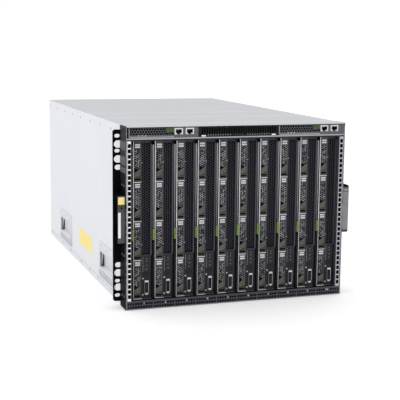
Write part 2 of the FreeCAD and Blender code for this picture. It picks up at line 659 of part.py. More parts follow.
node("pull_handles", group("pulls", [left_pull, mirror("pull_right", pull.body)]))

# Wrist strap socket in the left handle, open to the front, with a six-sided nut and shank.
RIM_FACE = f"({PULL_FACE} - size.plug_rim_thick)"
stem = shank("strap_shank", "size.plug_body", "size.pull_bar", (JACK_X, PULL_FACE, JACK_Z))
rim = shank("strap_rim", "size.plug_rim", "size.plug_rim_thick", (JACK_X, RIM_FACE, JACK_Z))
BORE_DEEP = "size.pull_bar + size.plug_rim_thick - size.plug_floor"
bore = rod("strap_bore", "size.plug_bore", BORE_DEEP, (JACK_X, RIM_FACE, JACK_Z))
node("esd_jack", join("Cut", "strap_socket", join("Fuse", "strap_body", stem, rim), bore))

# Blade guides: a deck below and above the blades, with a rib in each space between them.
GUIDE_LONG = f"({MID} - size.frame_depth)"
lower = Piece("lower_guide")
plate = lower.facing(EDGE_FROM)
rectangle(plate, f"-{INSIDE}", "size.sill_height - size.deck", f"2 * {INSIDE}", "size.deck")
lower.pad(plate, GUIDE_LONG, turned=True)
rib = lower.facing(EDGE_FROM)
rectangle(rib, f"-{ZONE} - size.rib_thick / 2", "size.sill_height", "size.rib_thick", "size.rib_height")
ribs = lower.pad(rib, GUIDE_LONG, turned=True)
lower.row(ribs, rib, "H_Axis", "size.blade_pitch", "size.blade_count + 1")
upper = mirror("upper_guide", lower.body, (0, 0, 1), f"(size.sill_height + {RAIL_LOW}) / 2")
node("blade_guides", group("guides", [lower.body, upper]))

# Midplane: one board across the chassis with a socket and an air window for each blade.
MID_FACE = f"({FRONT} + {MID})"
PLUG_LEFT = f"({BLADE_LEFT} + ({SHELL_WIDE} - size.plug_wide) / 2)"
BLADE_MID = f"(({BLADE_LOW} + {BLADE_TOP}) / 2)"
PLUG_LOW = f"({BLADE_MID} - size.exit_height / 2 - size.plug_low - size.plug_tall)"
mid = Piece("midplane")
board = mid.facing(MID_FACE)
rectangle(board, f"-({INSIDE} - size.board_gap)", "size.sheet + size.board_gap",
          f"2 * ({INSIDE} - size.board_gap)", f"{COVER_LOW} - size.sheet - 2 * size.board_gap")
mid.pad(board, "size.board", turned=True)
sockets = mid.facing(MID_FACE)
rectangle(sockets, PLUG_LEFT, PLUG_LOW, "size.plug_wide", "size.plug_tall")
mid.row(mid.pad(sockets, "size.socket_reach"), sockets, "H_Axis", "size.blade_pitch", "size.blade_count")
window = mid.facing(MID_FACE)
rectangle(window, f"{BLADE_LEFT} + ({SHELL_WIDE} - size.window_wide) / 2",
          f"{BLADE_MID} - size.window_tall / 2", "size.window_wide", "size.window_tall")
mid.row(mid.cut(window, "size.board"), window, "H_Axis", "size.blade_pitch", "size.blade_count")
node("midplane", mid.body)

# Blade shell: a tray with drive bays in front, open on its right where the cover lies.
SHELL_RIGHT = f"({BLADE_LEFT} + {SHELL_WIDE})"
ROOM_LOW = f"{BLADE_LOW} + size.blade_wall"
ROOM_TALL = f"{BLADE_TALL} - 2 * size.blade_wall"
LATCH_LOW = f"({BLADE_LOW} + size.latch_low)"
VENT_LEFT = f"({SHELL_RIGHT} - size.vent_side - size.vent_width)"
shell = Piece("blade_shell")
outline = shell.facing(BLADE_FACE)
rectangle(outline, BLADE_LEFT, BLADE_LOW, SHELL_WIDE, BLADE_TALL)
shell.pad(outline, "size.blade_depth", turned=True)
room = shell.beside(SHELL_RIGHT)
rectangle(room, f"{BLADE_FACE} + size.blade_panel", ROOM_LOW,
          "size.bay_depth + size.blade_wall - size.blade_panel", ROOM_TALL)
shell.cut(room, f"{SHELL_WIDE} - size.lever_column - 2 * size.blade_wall - size.bay_width")
room = shell.beside(SHELL_RIGHT)
rectangle(room, f"{BLADE_FACE} + size.bay_depth + size.blade_wall", ROOM_LOW,
          "size.blade_depth - size.bay_depth - 2 * size.blade_wall", ROOM_TALL)
shell.cut(room, f"{SHELL_WIDE} - size.blade_wall")
bay = shell.facing(BLADE_FACE)
rectangle(bay, BAY_LEFT, BAY_LOW, "size.bay_width", BAY_TALL)
shell.row(shell.cut(bay, "size.bay_depth"), bay, "V_Axis", "size.bay_pitch", "size.bay_count")
vent = shell.facing(BLADE_FACE)
rectangle(vent, VENT_LEFT, f"{BLADE_LOW} + size.vent_low", "size.vent_width",
          f"{BLADE_TALL} - size.vent_low - size.vent_cap")
shell.cut(vent, "size.blade_panel")
way_out = shell.facing(BLADE_BACK)
rectangle(way_out, f"{BLADE_LEFT} + ({SHELL_WIDE} - size.vent_width) / 2",
          f"{BLADE_MID} - size.exit_height / 2", "size.vent_width", "size.exit_height")
shell.cut(way_out, "size.blade_wall", turned=True)
plug = shell.facing(BLADE_BACK)
rectangle(plug, PLUG_LEFT, PLUG_LOW, "size.plug_wide", "size.plug_tall")
shell.pad(plug, "size.plug_reach", turned=True)
channel = shell.facing(BLADE_FACE)
CHANNEL_LOW = f"({LATCH_LOW} - size.latch_travel - size.lever_side)"
rectangle(channel, BLADE_LEFT, CHANNEL_LOW, "size.lever_column", f"{BLADE_TOP} - {CHANNEL_LOW}")
shell.cut(channel, "size.lever_channel")
pin = shell.beside(f"{BLADE_LEFT} + size.lever_column")
circle(pin, f"{BLADE_FACE} + size.pivot_back", f"{BLADE_TOP} - size.pivot_drop", "size.pivot_radius")
shell.pad(pin, "size.lever_column - size.lever_side", turned=True)
PORT_LEFT = f"({VENT_LEFT} + (size.vent_width - size.port_wide) / 2)"
port = shell.facing(BLADE_FACE)
rectangle(port, PORT_LEFT, f"{BLADE_LOW} + size.port_low", "size.port_wide", "size.port_tall")
shell.pad(port, "size.port_reach")
port = shell.facing(f"{BLADE_FACE} - size.port_reach")
rectangle(port, f"{PORT_LEFT} + size.port_wall", f"{BLADE_LOW} + size.port_low + size.port_wall",
          "size.port_wide - 2 * size.port_wall", "size.port_tall - 2 * size.port_wall")
shell.cut(port, "size.port_reach - size.port_wall")
lid = box("blade_lid", (SHELL_RIGHT, f"{BLADE_FACE} + size.lid_margin", f"{BLADE_LOW} + size.lid_margin"),
          ("size.blade_lid", "size.blade_depth - 2 * size.lid_margin",
           f"{BLADE_TALL} - 2 * size.lid_margin"))

# Drive carrier: its face is sunk between the top band and the slanted edge of the handle.
DRIVE_LEFT = f"({BAY_LEFT} + size.drive_gap)"
DRIVE_WIDE = "(size.bay_width - 2 * size.drive_gap)"
DRIVE_LOW = f"({BAY_LOW} + size.drive_gap)"
DRIVE_TOP = f"({BAY_LOW} + {BAY_TALL} - size.drive_gap)"
drive = Piece("drive")
outline = drive.facing(BLADE_FACE)
rectangle(outline, DRIVE_LEFT, DRIVE_LOW, DRIVE_WIDE, f"{DRIVE_TOP} - {DRIVE_LOW}")
drive.pad(outline, "size.drive_length", turned=True)
field = drive.facing(BLADE_FACE)
FIELD_LEFT = f"{DRIVE_LEFT} + ({DRIVE_WIDE} - size.field_wide) / 2"
FIELD_RIGHT = f"{FIELD_LEFT} + size.field_wide"
FIELD_TOP = f"{DRIVE_TOP} - size.field_drop"
polygon(field, [(FIELD_LEFT, f"{DRIVE_LOW} + size.slant_left"),
                (FIELD_RIGHT, f"{DRIVE_LOW} + size.slant_right"),
                (FIELD_RIGHT, FIELD_TOP), (FIELD_LEFT, FIELD_TOP)])
drive.cut(field, "size.field_sink")

# Ejector lever: hangs from its pin at the blade's top left and thins to a finger tip.
# Twelve flats of its eye bear on the pin.
LEVER_LEFT = f"({BLADE_LEFT} + size.lever_side)"
LEVER_WIDE = "size.lever_column - 2 * size.lever_side"
LEVER_LOW = f"({LATCH_LOW} + size.latch_height + size.latch_space)"
LEVER_TOP = f"({BLADE_TOP} - size.pivot_drop + size.head_rise)"
lever = Piece("lever")
profile = lever.beside(LEVER_LEFT)
polygon(profile, [(BLADE_FACE, LEVER_LOW), (f"{BLADE_FACE} + size.lever_tip", LEVER_LOW),
                  (f"{BLADE_FACE} + size.lever_depth", f"{LEVER_LOW} + size.lever_taper"),
                  (f"{BLADE_FACE} + size.lever_depth", LEVER_TOP), (BLADE_FACE, LEVER_TOP)])
lever.pad(profile, LEVER_WIDE)
eye = lever.beside(LEVER_LEFT)
regular(eye, f"{BLADE_FACE} + size.pivot_back", f"{BLADE_TOP} - size.pivot_drop",
        "(size.pivot_radius + size.pivot_fit)", 12)
lever.cut(eye, turned=True)
lever.soften("Chamfer", "size.lever_corner",
             lambda middle, way, bounds: abs(way.x) > 0.9 and middle.z > bounds.ZMax - 0.01)

# Catch: a sliding tab with a finger groove, below the lever's tip.
LATCH_FACE = f"{BLADE_FACE} - size.latch_proud"
LATCH_MID = f"{LATCH_LOW} + size.latch_height / 2"
LATCH_TOP = f"{LATCH_LOW} + size.latch_height"
latch = Piece("latch")
profile = latch.beside(LEVER_LEFT)
polygon(profile, [(LATCH_FACE, LATCH_LOW), (f"{BLADE_FACE} + size.latch_depth", LATCH_LOW),
                  (f"{BLADE_FACE} + size.latch_depth", LATCH_TOP), (LATCH_FACE, LATCH_TOP),
                  (LATCH_FACE, f"{LATCH_MID} + 2 * size.latch_groove"),
                  (f"{LATCH_FACE} + size.latch_groove", LATCH_MID),
                  (LATCH_FACE, f"{LATCH_MID} - 2 * size.latch_groove")])
latch.pad(profile, LEVER_WIDE)

# Ten blades. The first has its drives as pieces of their own, the others carry theirs.
drives = [drive.body]
for bay_number in range(1, NUMBER["bay_count"]):
    drives.append(copy(f"drive_up_{bay_number}", drive.body, z=f"size.bay_pitch * {bay_number}"))
node("blade_01", group("blade_first", [shell.body, lid]))
for bay_number, carrier in enumerate(drives, start=1):
    node(f"drive_{bay_number:02d}", carrier)
full_blade = group("blade_full", [shell.body, lid] + drives)
node("lever_01", lever.body)
node("latch_01", latch.body)
for place in range(1, NUMBER["blade_count"]):
    way = f"size.blade_pitch * {place}"
    node(f"blade_{place + 1:02d}", copy(f"blade_copy_{place}", full_blade, x=way))
    node(f"lever_{place + 1:02d}", copy(f"lever_copy_{place}", lever.body, x=way))
    node(f"latch_{place + 1:02d}", copy(f"latch_copy_{place}", latch.body, x=way))

# Management modules: two framed network sockets and a catch slot at the right of each face.
MODULE_LEFT = f"(-{ROW_HALF} + size.module_gap)"
MODULE_RIGHT = "(-size.centre_width / 2 - size.module_gap)"
MODULE_LOW = f"({RAIL_TOP} + size.module_gap)"
MODULE_TOP = f"({ROW_TOP} - size.module_gap)"
MODULE_FACE = f"({FRONT} + size.module_set)"
module = Piece("module")
outline = module.facing(MODULE_FACE)
rectangle(outline, MODULE_LEFT, MODULE_LOW, f"{MODULE_RIGHT} - {MODULE_LEFT}",
          f"{MODULE_TOP} - {MODULE_LOW}")
module.pad(outline, "size.module_depth", turned=True)
frames = module.facing(MODULE_FACE)
sockets = module.facing(f"{MODULE_FACE} - size.jack_proud")
for step in ("0", "size.jack_pitch"):
    jack_left = f"{MODULE_RIGHT} - size.jack_end - size.jack_wide - {step}"
    rectangle(frames, f"{jack_left} - size.jack_rim", f"{MODULE_LOW} + size.jack_low - size.jack_rim",
              "size.jack_wide + 2 * size.jack_rim", "size.jack_tall + 2 * size.jack_rim")
    rectangle(sockets, jack_left, f"{MODULE_LOW} + size.jack_low", "size.jack_wide", "size.jack_tall")
module.pad(frames, "size.jack_proud")
module.cut(sockets, "size.jack_proud + size.jack_depth")
TAB_LEFT = f"({MODULE_RIGHT} - size.tab_end - size.tab_wide)"
TAB_TOP = f"({MODULE_TOP} - size.module_gap - size.tab_gap)"
TAB_LOW = f"({TAB_TOP} - size.tab_tall)"
pocket = module.facing(MODULE_FACE)
rectangle(pocket, f"{TAB_LEFT} - size.tab_gap", f"{TAB_LOW} - size.tab_travel - size.tab_gap",
          "size.tab_wide + 2 * size.tab_gap", "size.tab_tall + size.tab_travel + 2 * size.tab_gap")
module.cut(pocket, "size.tab_deep + size.tab_gap")
tab = box("module_tab", (TAB_LEFT, f"{MODULE_FACE} - size.tab_proud", TAB_LOW),
          ("size.tab_wide", "size.tab_deep + size.tab_proud", "size.tab_tall"))
MODULE_STEP = f"{ROW_HALF} + size.centre_width / 2"
node("management_module_left", module.body)
node("management_module_right", copy("module_right", module.body, x=MODULE_STEP))
node("module_catch_left", tab)
node("module_catch_right", copy("tab_right", tab, x=MODULE_STEP))

# Rear frame: rails round the openings for supplies, slot blanks and fan trays.
HALF_WIDE = f"({ZONE} - size.rear_rail / 2)"
HALF_STEP = f"({HALF_WIDE} + size.rear_rail)"
REAR_LEFT = f"(-{ZONE})"
PSU_WIDE = f"((2 * {ZONE} - (size.psu_count - 1) * size.rear_rail) / size.psu_count)"
PSU_STEP = f"({PSU_WIDE} + size.rear_rail)"
PSU_LOW = "(size.sheet + size.rear_rail)"
BLANK_LOW = f"({PSU_LOW} + size.psu_height + size.rear_rail)"
BLANK_STEP = "(size.blank_height + size.rear_rail)"
FAN_LOW = f"({BLANK_LOW} + size.blank_rows * {BLANK_STEP})"
FAN_TALL = f"({COVER_LOW} - size.rear_rail - {FAN_LOW})"
REAR_FACE = f"({BACK} - size.rear_deep)"
rear = Piece("rear_frame")
ring = rear.facing(REAR_FACE)
rectangle(ring, f"-{INSIDE}", "size.sheet", f"2 * {INSIDE}", f"{COVER_LOW} - size.sheet")
rear.pad(ring, "size.rear_deep", turned=True)
opening = rear.facing(REAR_FACE)
rectangle(opening, REAR_LEFT, PSU_LOW, PSU_WIDE, "size.psu_height")
rear.row(rear.cut(opening), opening, "H_Axis", PSU_STEP, "size.psu_count")
opening = rear.facing(REAR_FACE)
for across in (REAR_LEFT, f"{REAR_LEFT} + {HALF_STEP}"):
    rectangle(opening, across, BLANK_LOW, HALF_WIDE, "size.blank_height")
rear.row(rear.cut(opening), opening, "V_Axis", BLANK_STEP, "size.blank_rows")
opening = rear.facing(REAR_FACE)
for across in (REAR_LEFT, f"{REAR_LEFT} + {HALF_STEP}"):
    rectangle(opening, across, FAN_LOW, HALF_WIDE, FAN_TALL)
rear.cut(opening)
node("rear_frame", rear.body)

# Slot blanks: shallow trays that stand on the rails and close the unused slots.
blank = Piece("slot_blank")
outline = blank.facing(f"{BACK} - size.blank_deep")
rectangle(outline, f"{REAR_LEFT} + size.rear_fit", BLANK_LOW, f"{HALF_WIDE} - 2 * size.rear_fit",
          "size.blank_height - size.rear_fit")
blank.pad(outline, "size.blank_deep", turned=True)
hollow = blank.facing(f"{BACK} - size.blank_deep")
rectangle(hollow, f"{REAR_LEFT} + size.rear_fit + size.blank_sheet", f"{BLANK_LOW} + size.blank_sheet",
          f"{HALF_WIDE} - 2 * (size.rear_fit + size.blank_sheet)",
          "size.blank_height - size.rear_fit - 2 * size.blank_sheet")
blank.cut(hollow, "size.blank_deep - size.blank_sheet")
blanks = [blank.body]
for column in range(2):
    for level in range(NUMBER["blank_rows"]):
        if column or level:
            name = f"slot_blank_{column}_{level}"
            blanks.append(copy(name, blank.body, x=f"{HALF_STEP} * {column}", z=f"{BLANK_STEP} * {level}"))
node("io_slot_blanks", group("slot_blanks", blanks))


def rear_pull(piece, left, middle):
    """A loop handle on the rear face of a module."""
    loop = piece.beside(left)
    rectangle(loop, BACK, f"{middle} - size.pull_tall / 2", "size.rear_reach", "size.pull_tall")
    piece.pad(loop, "size.pull_wide")
    inner = piece.beside(left)
    rectangle(inner, BACK, f"{middle} - size.pull_tall / 2 + size.pull_thick",
              "size.rear_reach - size.pull_thick", "size.pull_tall - 2 * size.pull_thick")
    piece.cut(inner, "size.pull_wide", turned=True)


# Power supplies: closed cases with a power inlet and a loop handle.
PSU_LEFT = f"({REAR_LEFT} + size.rear_fit)"
PSU_BODY = f"({PSU_WIDE} - 2 * size.rear_fit)"
psu = Piece("psu")
outline = psu.facing(f"{BACK} - size.psu_depth")
rectangle(outline, PSU_LEFT, f"{PSU_LOW} + size.rear_fit", PSU_BODY, "size.psu_height - 2 * size.rear_fit")
psu.pad(outline, "size.psu_depth", turned=True)
inlet = psu.facing(BACK)
rectangle(inlet, f"{PSU_LEFT} + size.inlet_side", f"{PSU_LOW} + size.rear_fit + size.inlet_low",
          "size.inlet_wide", "size.inlet_tall")
psu.cut(inlet, "size.inlet_deep", turned=True)
PSU_MID = f"({PSU_LOW} + size.psu_height / 2)"
rear_pull(psu, f"{PSU_LEFT} + {PSU_BODY} - size.pull_side - size.pull_wide", PSU_MID)
node("power_supply_1", psu.body)
for place in range(1, NUMBER["psu_count"]):
    node(f"power_supply_{place + 1}", copy(f"psu_copy_{place}", psu.body, x=f"{PSU_STEP} * {place}"))

# Fan trays: a box open to the front with a round mouth in its rear plate, and a four-armed
# spider that carries the motor and the rotor shaft.
FAN_LEFT = f"({REAR_LEFT} + size.rear_fit)"
FAN_BODY = f"({HALF_WIDE} - 2 * size.rear_fit)"
FAN_X = f"({FAN_LEFT} + {FAN_BODY} / 2)"
FAN_Z = f"({FAN_LOW} + {FAN_TALL} / 2)"
FAN_HIGH = f"({FAN_TALL} - 2 * size.rear_fit)"
MOUTH = f"({FAN_HIGH} / 2 - size.fan_margin)"
ROTOR_FROM = f"({BACK} - size.fan_set - size.rotor_deep)"
SPIDER_FROM = f"({ROTOR_FROM} - size.spider_gap - size.spider_deep)"
tray = Piece("fan_tray")
TRAY_FROM = f"{BACK} - size.fan_depth"
TRAY_LOW = f"({FAN_LOW} + size.rear_fit)"
outline = tray.facing(TRAY_FROM)
rectangle(outline, FAN_LEFT, TRAY_LOW, FAN_BODY, FAN_HIGH)
tray.pad(outline, "size.fan_depth", turned=True)
room = tray.facing(TRAY_FROM)
rectangle(room, f"{FAN_LEFT} + size.tray_wall", f"{TRAY_LOW} + size.tray_wall",
          f"{FAN_BODY} - 2 * size.tray_wall", f"{FAN_HIGH} - 2 * size.tray_wall")
tray.cut(room, "size.fan_depth - size.tray_plate")
mouth = tray.facing(f"{BACK} - size.tray_plate")
circle(mouth, FAN_X, FAN_Z, MOUTH)
tray.cut(mouth, "size.tray_plate")
arms = tray.facing(SPIDER_FROM)
rectangle(arms, f"{FAN_LEFT} + size.tray_wall / 2", f"{FAN_Z} - size.spider_wide / 2",
          f"{FAN_BODY} - size.tray_wall", "size.spider_wide")
tray.pad(arms, "size.spider_deep", turned=True)
arms = tray.facing(SPIDER_FROM)
rectangle(arms, f"{FAN_X} - size.spider_wide / 2", f"{TRAY_LOW} + size.tray_wall / 2", "size.spider_wide",
          f"{FAN_HIGH} - size.tray_wall")
tray.pad(arms, "size.spider_deep", turned=True)
motor = tray.facing(SPIDER_FROM)
regular(motor, FAN_X, FAN_Z, "size.hub_radius", 8)
tray.pad(motor, "size.spider_deep", turned=True)
shaft = tray.facing(SPIDER_FROM)
circle(shaft, FAN_X, FAN_Z, "size.shaft_radius")
tray.pad(shaft, "size.spider_deep + size.spider_gap + size.rotor_deep", turned=True)
rear_pull(tray, f"{FAN_LEFT} + {FAN_BODY} - size.pull_side - size.pull_wide", FAN_Z)
node("fan_tray_left", tray.body)
node("fan_tray_right", copy("tray_right", tray.body, x=HALF_STEP))

# Fan rotors: a hub with a flat for each pitched vane and one between, drawn about its own
# axis and then set on the shaft.
rotor = Piece("rotor")
hub = rotor.facing("0")
regular(hub, "0", "0", "size.hub_radius", 2 * NUMBER["vane_count"])
rotor.pad(hub, "size.rotor_deep", turned=True)
vane = rotor.above("size.hub_radius - size.vane_root")
SLANT = "size.vane_pitch * 1 deg"
corners = []
for along, out in ((-1, -1), (-1, 1), (1, 1), (1, -1)):
    across = f"({along} * size.vane_chord * sin({SLANT}) + {out} * size.vane_thick * cos({SLANT})) / 2"
    back = f"({along} * size.vane_chord * cos({SLANT}) - {out} * size.vane_thick * sin({SLANT})) / 2"
    corners.append((across, f"size.rotor_deep / 2 + {back}"))
polygon(vane, corners)
first_vane = rotor.pad(vane, f"{MOUTH} - size.fan_tip - size.hub_radius + size.vane_root")
vanes = rotor.body.newObject("PartDesign::PolarPattern", "rotor_vanes")
vanes.Originals = [first_vane]
vanes.Axis = (hub, ["N_Axis"])
vanes.Angle = 360
vanes.setExpression("Occurrences", "size.vane_count")
rotor.body.Tip = vanes
bore = rotor.facing("0")
circle(bore, "0", "0", "size.shaft_radius + size.shaft_fit")
rotor.cut(bore)
for axis, place in zip("xyz", (FAN_X, ROTOR_FROM, FAN_Z)):
    rotor.body.setExpression(f"Placement.Base.{axis}", place)
node("fan_rotor_left", rotor.body)
node("fan_rotor_right", copy("rotor_right", rotor.body, x=HALF_STEP))

doc.recompute()
for thing in doc.Objects:
    if "Invalid" in thing.State or "Error" in thing.State:
        raise RuntimeError(f"{thing.Name} did not build: {thing.State}")
shapes = {}
for label, thing in nodes:
    shape = Part.getShape(thing)
    if shape.isNull() or not shape.isValid() or not shape.Solids:
        raise RuntimeError(f"{label} has no sound shape")
    shapes[label] = shape
os.makedirs("parts", exist_ok=True)
for label, shape in shapes.items():
    shape.exportStep(f"parts/{label}.step")
print(len(shapes), "sub-parts written")
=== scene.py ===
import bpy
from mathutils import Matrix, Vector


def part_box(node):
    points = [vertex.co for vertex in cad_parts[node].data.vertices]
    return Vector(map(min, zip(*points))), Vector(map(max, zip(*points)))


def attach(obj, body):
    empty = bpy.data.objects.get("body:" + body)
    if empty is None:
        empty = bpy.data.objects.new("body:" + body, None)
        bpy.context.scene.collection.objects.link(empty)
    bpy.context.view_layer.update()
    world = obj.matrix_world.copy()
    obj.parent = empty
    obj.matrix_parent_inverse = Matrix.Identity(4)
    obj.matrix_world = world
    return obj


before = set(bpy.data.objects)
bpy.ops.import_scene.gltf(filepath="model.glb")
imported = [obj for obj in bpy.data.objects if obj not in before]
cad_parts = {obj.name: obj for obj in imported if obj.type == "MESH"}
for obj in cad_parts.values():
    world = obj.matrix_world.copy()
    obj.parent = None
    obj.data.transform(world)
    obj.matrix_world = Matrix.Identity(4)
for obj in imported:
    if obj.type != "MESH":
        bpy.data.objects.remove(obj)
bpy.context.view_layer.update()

import copy
import math

import bmesh
import bpy
from mathutils import Matrix, Vector

MM = 0.001
QUARTER = math.pi / 2


def low(name, way):
    """The low end of a part's box along x, y or z, in millimetres."""
    return round(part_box(name)[0]["xyz".index(way)] / MM, 3)


def high(name, way):
    """The high end of a part's box along x, y or z, in millimetres."""
    return round(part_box(name)[1]["xyz".index(way)] / MM, 3)


def step(first, second, way):
    """How far apart two like parts stand."""
    return round(low(second, way) - low(first, way), 3)


def numbered(stem, count):
    """The names of a row of like parts."""
    return [f"{stem}_{n:02d}" for n in range(1, count + 1)]


# Faces and levels of the case, in millimetres: the front is at -Y and the height runs up Z.
BEZEL_FACE = low("front_grilles", "y")
BLADE_FACE = low("lever_01", "y")
MODULE_FACE = low("center_grille", "y")
HANDLE_FACE = low("pull_handles", "y")
REAR_FACE = high("rear_frame", "y")
SIDE_WALL = high("side_panels", "x")
GRIP_WALL = high("side_grips", "x")
CASE_TOP = high("top_cover", "z")
RAIL_LOW = high("front_grilles", "z")
RAIL_TOP = low("center_grille", "z")

# What stands in a row: how many, where the first one is and the step to the next.
BLADE_COUNT = 10
BLADE_LEFT = low("blade_01", "x")
BLADE_PITCH = step("blade_01", "blade_02", "x")
BLADE_LOW = low("blade_01", "z")
BLADE_TOP = high("blade_01", "z")
DRIVE_COUNT = 4
DRIVE_LOW = low("drive_01", "z")
DRIVE_PITCH = step("drive_01", "drive_02", "z")
DRIVE_TALL = round(high("drive_01", "z") - DRIVE_LOW, 3)
MODULE_LEFT = low("management_module_left", "x")
MODULE_STEP = step("management_module_left", "management_module_right", "x")
MODULE_END = high("management_module_right", "x")
SUPPLY_COUNT = 4
SUPPLY_LEFT = low("power_supply_1", "x")
SUPPLY_STEP = step("power_supply_1", "power_supply_2", "x")
FAN_STEP = step("fan_tray_left", "fan_tray_right", "x")

# A blade's face: places across from its left side, and levels.
CHANNEL_RIGHT = 4.4
CAGE_LEFT = 5.2
CAGE_RIGHT = 20.5
CAGE_CORNER = 22.0
FIELD_LEFT = 7.0
FIELD_RIGHT = 18.8
VENT_MIDDLE = 30.15
VENT_RIGHT = 38.6
VENT_LOW = 104.6
VENT_TOP = 320.6
EDGE_STEP = 156.0

# A module's network sockets: places across from the module's left side.
PORTS = (92.0, 114.0)
PORT_WIDE = 12.0

# The finger cups of the side grips, and the beads across the cover.
CUP_FRONT = -316.0
CUP_LONG = 120.0
CUP_STEP = 430.0
CUP_FLOOR = 37.6
COVER_BEADS = (-369.0, -227.0, -102.0)
BEAD_WIDE = 5.0


def tone(red, green, blue):
    """A colour as it looks on screen, 0 to 255, turned into the shader's linear numbers."""
    shares = [part / 255 for part in (red, green, blue)]
    linear = [s / 12.92 if s < 0.04 else ((s + 0.055) / 1.055) ** 2.4 for s in shares]
    return (*linear, 1.0)


def sums(operation, swapped=False):
    """An operator that adds a Math node to the tree of the number it works on."""
    def work(self, other=0.0):
        first, second = (other, self) if swapped else (self, other)
        made = self.tree.node("ShaderNodeMath", {0: first, 1: second}, operation=operation)
        return Grade(self.tree, made.outputs[0])
    return work


class Grade:
    """A number that changes over a piece. Sums on it add Math nodes to its tree."""

    def __init__(self, tree, socket):
        self.tree = tree
        self.socket = socket

    def between(self, low_end, high_end):
        return (self > low_end) * (self < high_end)

    __add__ = __radd__ = sums("ADD")
    __sub__ = sums("SUBTRACT")
    __rsub__ = sums("SUBTRACT", swapped=True)
    __mul__ = __rmul__ = sums("MULTIPLY")
    __truediv__ = sums("DIVIDE")
    __mod__ = sums("MODULO")
    __gt__ = sums("GREATER_THAN")
    __lt__ = sums("LESS_THAN")
    __or__ = sums("MAXIMUM")
    __abs__ = sums("ABSOLUTE")
    __round__ = sums("ROUND")


class Tree:
    """A tree of nodes, and the one way in which nodes are added to it."""

    def __init__(self, graph):
        self.graph = graph

    def feed(self, socket, value):
        """Links a socket to what varies, or sets it to what doesn't."""
        if isinstance(value, Grade):
            value = value.socket
        if isinstance(value, bpy.types.Node):
            value = value.outputs[0]
        if isinstance(value, bpy.types.NodeSocket):
            self.graph.links.new(value, socket)
        else:
            socket.default_value = value

    def node(self, kind, sockets=None, **settings):
        """Adds a node: its settings first, then the values or links of its sockets."""
        made = self.graph.nodes.new(kind)
        for key, value in settings.items():
            setattr(made, key, value)
        for key, value in (sockets or {}).items():
            self.feed(made.inputs[key], value)
        return made


class Finish(Tree):
    """One material: a shader, the place on the piece in millimetres, and the nodes that vary it."""

    def __init__(self, name, metallic=0.0, specular=0.5, coat=0.0):
        self.material = bpy.data.materials.new(name)
        self.material.use_nodes = True
        super().__init__(self.material.node_tree)
        self.shade({"Metallic": metallic, "Specular IOR Level": specular, "Coat Weight": coat})
        self.place = self.node("ShaderNodeTexCoord").outputs["Object"]
        split = self.node("ShaderNodeSeparateXYZ", {0: self.place})
        self.across, self.along, self.up = [Grade(self, way) * (1 / MM) for way in split.outputs]

    def shade(self, sockets):
        """Sets or links sockets of the shader."""
        for key, value in sockets.items():
            self.feed(self.graph.nodes["Principled BSDF"].inputs[key], value)

    def grain(self, size, stretch=(1, 1, 1), detail=2.0):
        """Cloudy noise, 0 to 1, whose blots are about so many millimetres across."""
        scale = [1 / MM / size / part for part in stretch]
        sized = self.node("ShaderNodeMapping", {"Vector": self.place, "Scale": scale})
        cloud = self.node("ShaderNodeTexNoise", {"Vector": sized, "Scale": 1.0, "Detail": detail})
        return Grade(self, cloud.outputs[0])

    def flakes(self, size):
        """Flat patches, 0 to 1, like the spangle of zinc plating."""
        cells = self.node("ShaderNodeTexVoronoi", {"Vector": self.place, "Scale": 1 / MM / size})
        return Grade(self, self.node("ShaderNodeSeparateColor", {0: cells.outputs["Color"]}).outputs[0])

    def blend(self, share, first, second):
        """One colour over another by a share. A colour is three levels on screen, or a socket."""
        first, second = [tone(*c) if isinstance(c, tuple) else c for c in (first, second)]
        made = self.node("ShaderNodeMix", {0: share, 6: first, 7: second}, data_type="RGBA")
        return made.outputs[2]

    def layers(self, colour, *coats):
        """Lays coats, each a share and a colour, over a colour, one after the other."""
        for share, coat in coats:
            colour = self.blend(share, colour, coat)
        return colour

    def wear(self, share, from_level, to_level):
        """Stretches a part of a noise or a height to the whole of 0 to 1."""
        made = self.node("ShaderNodeMapRange", {0: share, 1: from_level, 2: to_level}, clamp=True)
        return Grade(self, made.outputs[0])

    def patches(self, size, from_level, to_level):
        """Worn patches, 0 to 1, about so many millimetres across."""
        return self.wear(self.grain(size, detail=4), from_level, to_level)

    def close(self, colour, roughness, bump=None, depth=0.02):
        """Sends the colour, the roughness and a bump of so many millimetres to the shader."""
        self.shade({"Base Color": colour, "Roughness": roughness})
        if bump is not None:
            raised = self.node("ShaderNodeBump", {"Height": bump, "Distance": depth * MM, "Strength": 1.0})
            self.shade({"Normal": raised})
        return self.material


# Finishes that several pieces share

def enamel(name, light, dark, rough=0.45, peel=0.02, gloss=0.5):
    """Painted sheet: slow cloudy colour, fine orange peel, small rubbed spots."""
    paint = Finish(name, specular=gloss)
    cloud = paint.grain(90, detail=3)
    rubbed = paint.patches(7, 0.62, 0.74)
    colour = paint.layers(dark, (cloud, light), (rubbed * 0.03, (250, 250, 250)))
    return paint.close(colour, rough + 0.18 * (cloud - 0.5) + 0.06 * rubbed, paint.grain(1.1), peel)


def moulded(name, colour, pale, rough=0.5, depth=0.03, gloss=0.4):
    """Moulded plastic: spark-eroded grain, and paler where hands and tools rub it."""
    plastic = Finish(name, specular=gloss)
    fine = plastic.grain(0.6, detail=3)
    rubbed = plastic.patches(16, 0.5, 0.72)
    shade = plastic.blend(rubbed * 0.35 + 0.2 * fine, colour, pale)
    return plastic.close(shade, rough - 0.1 * rubbed + 0.12 * fine, fine, depth)


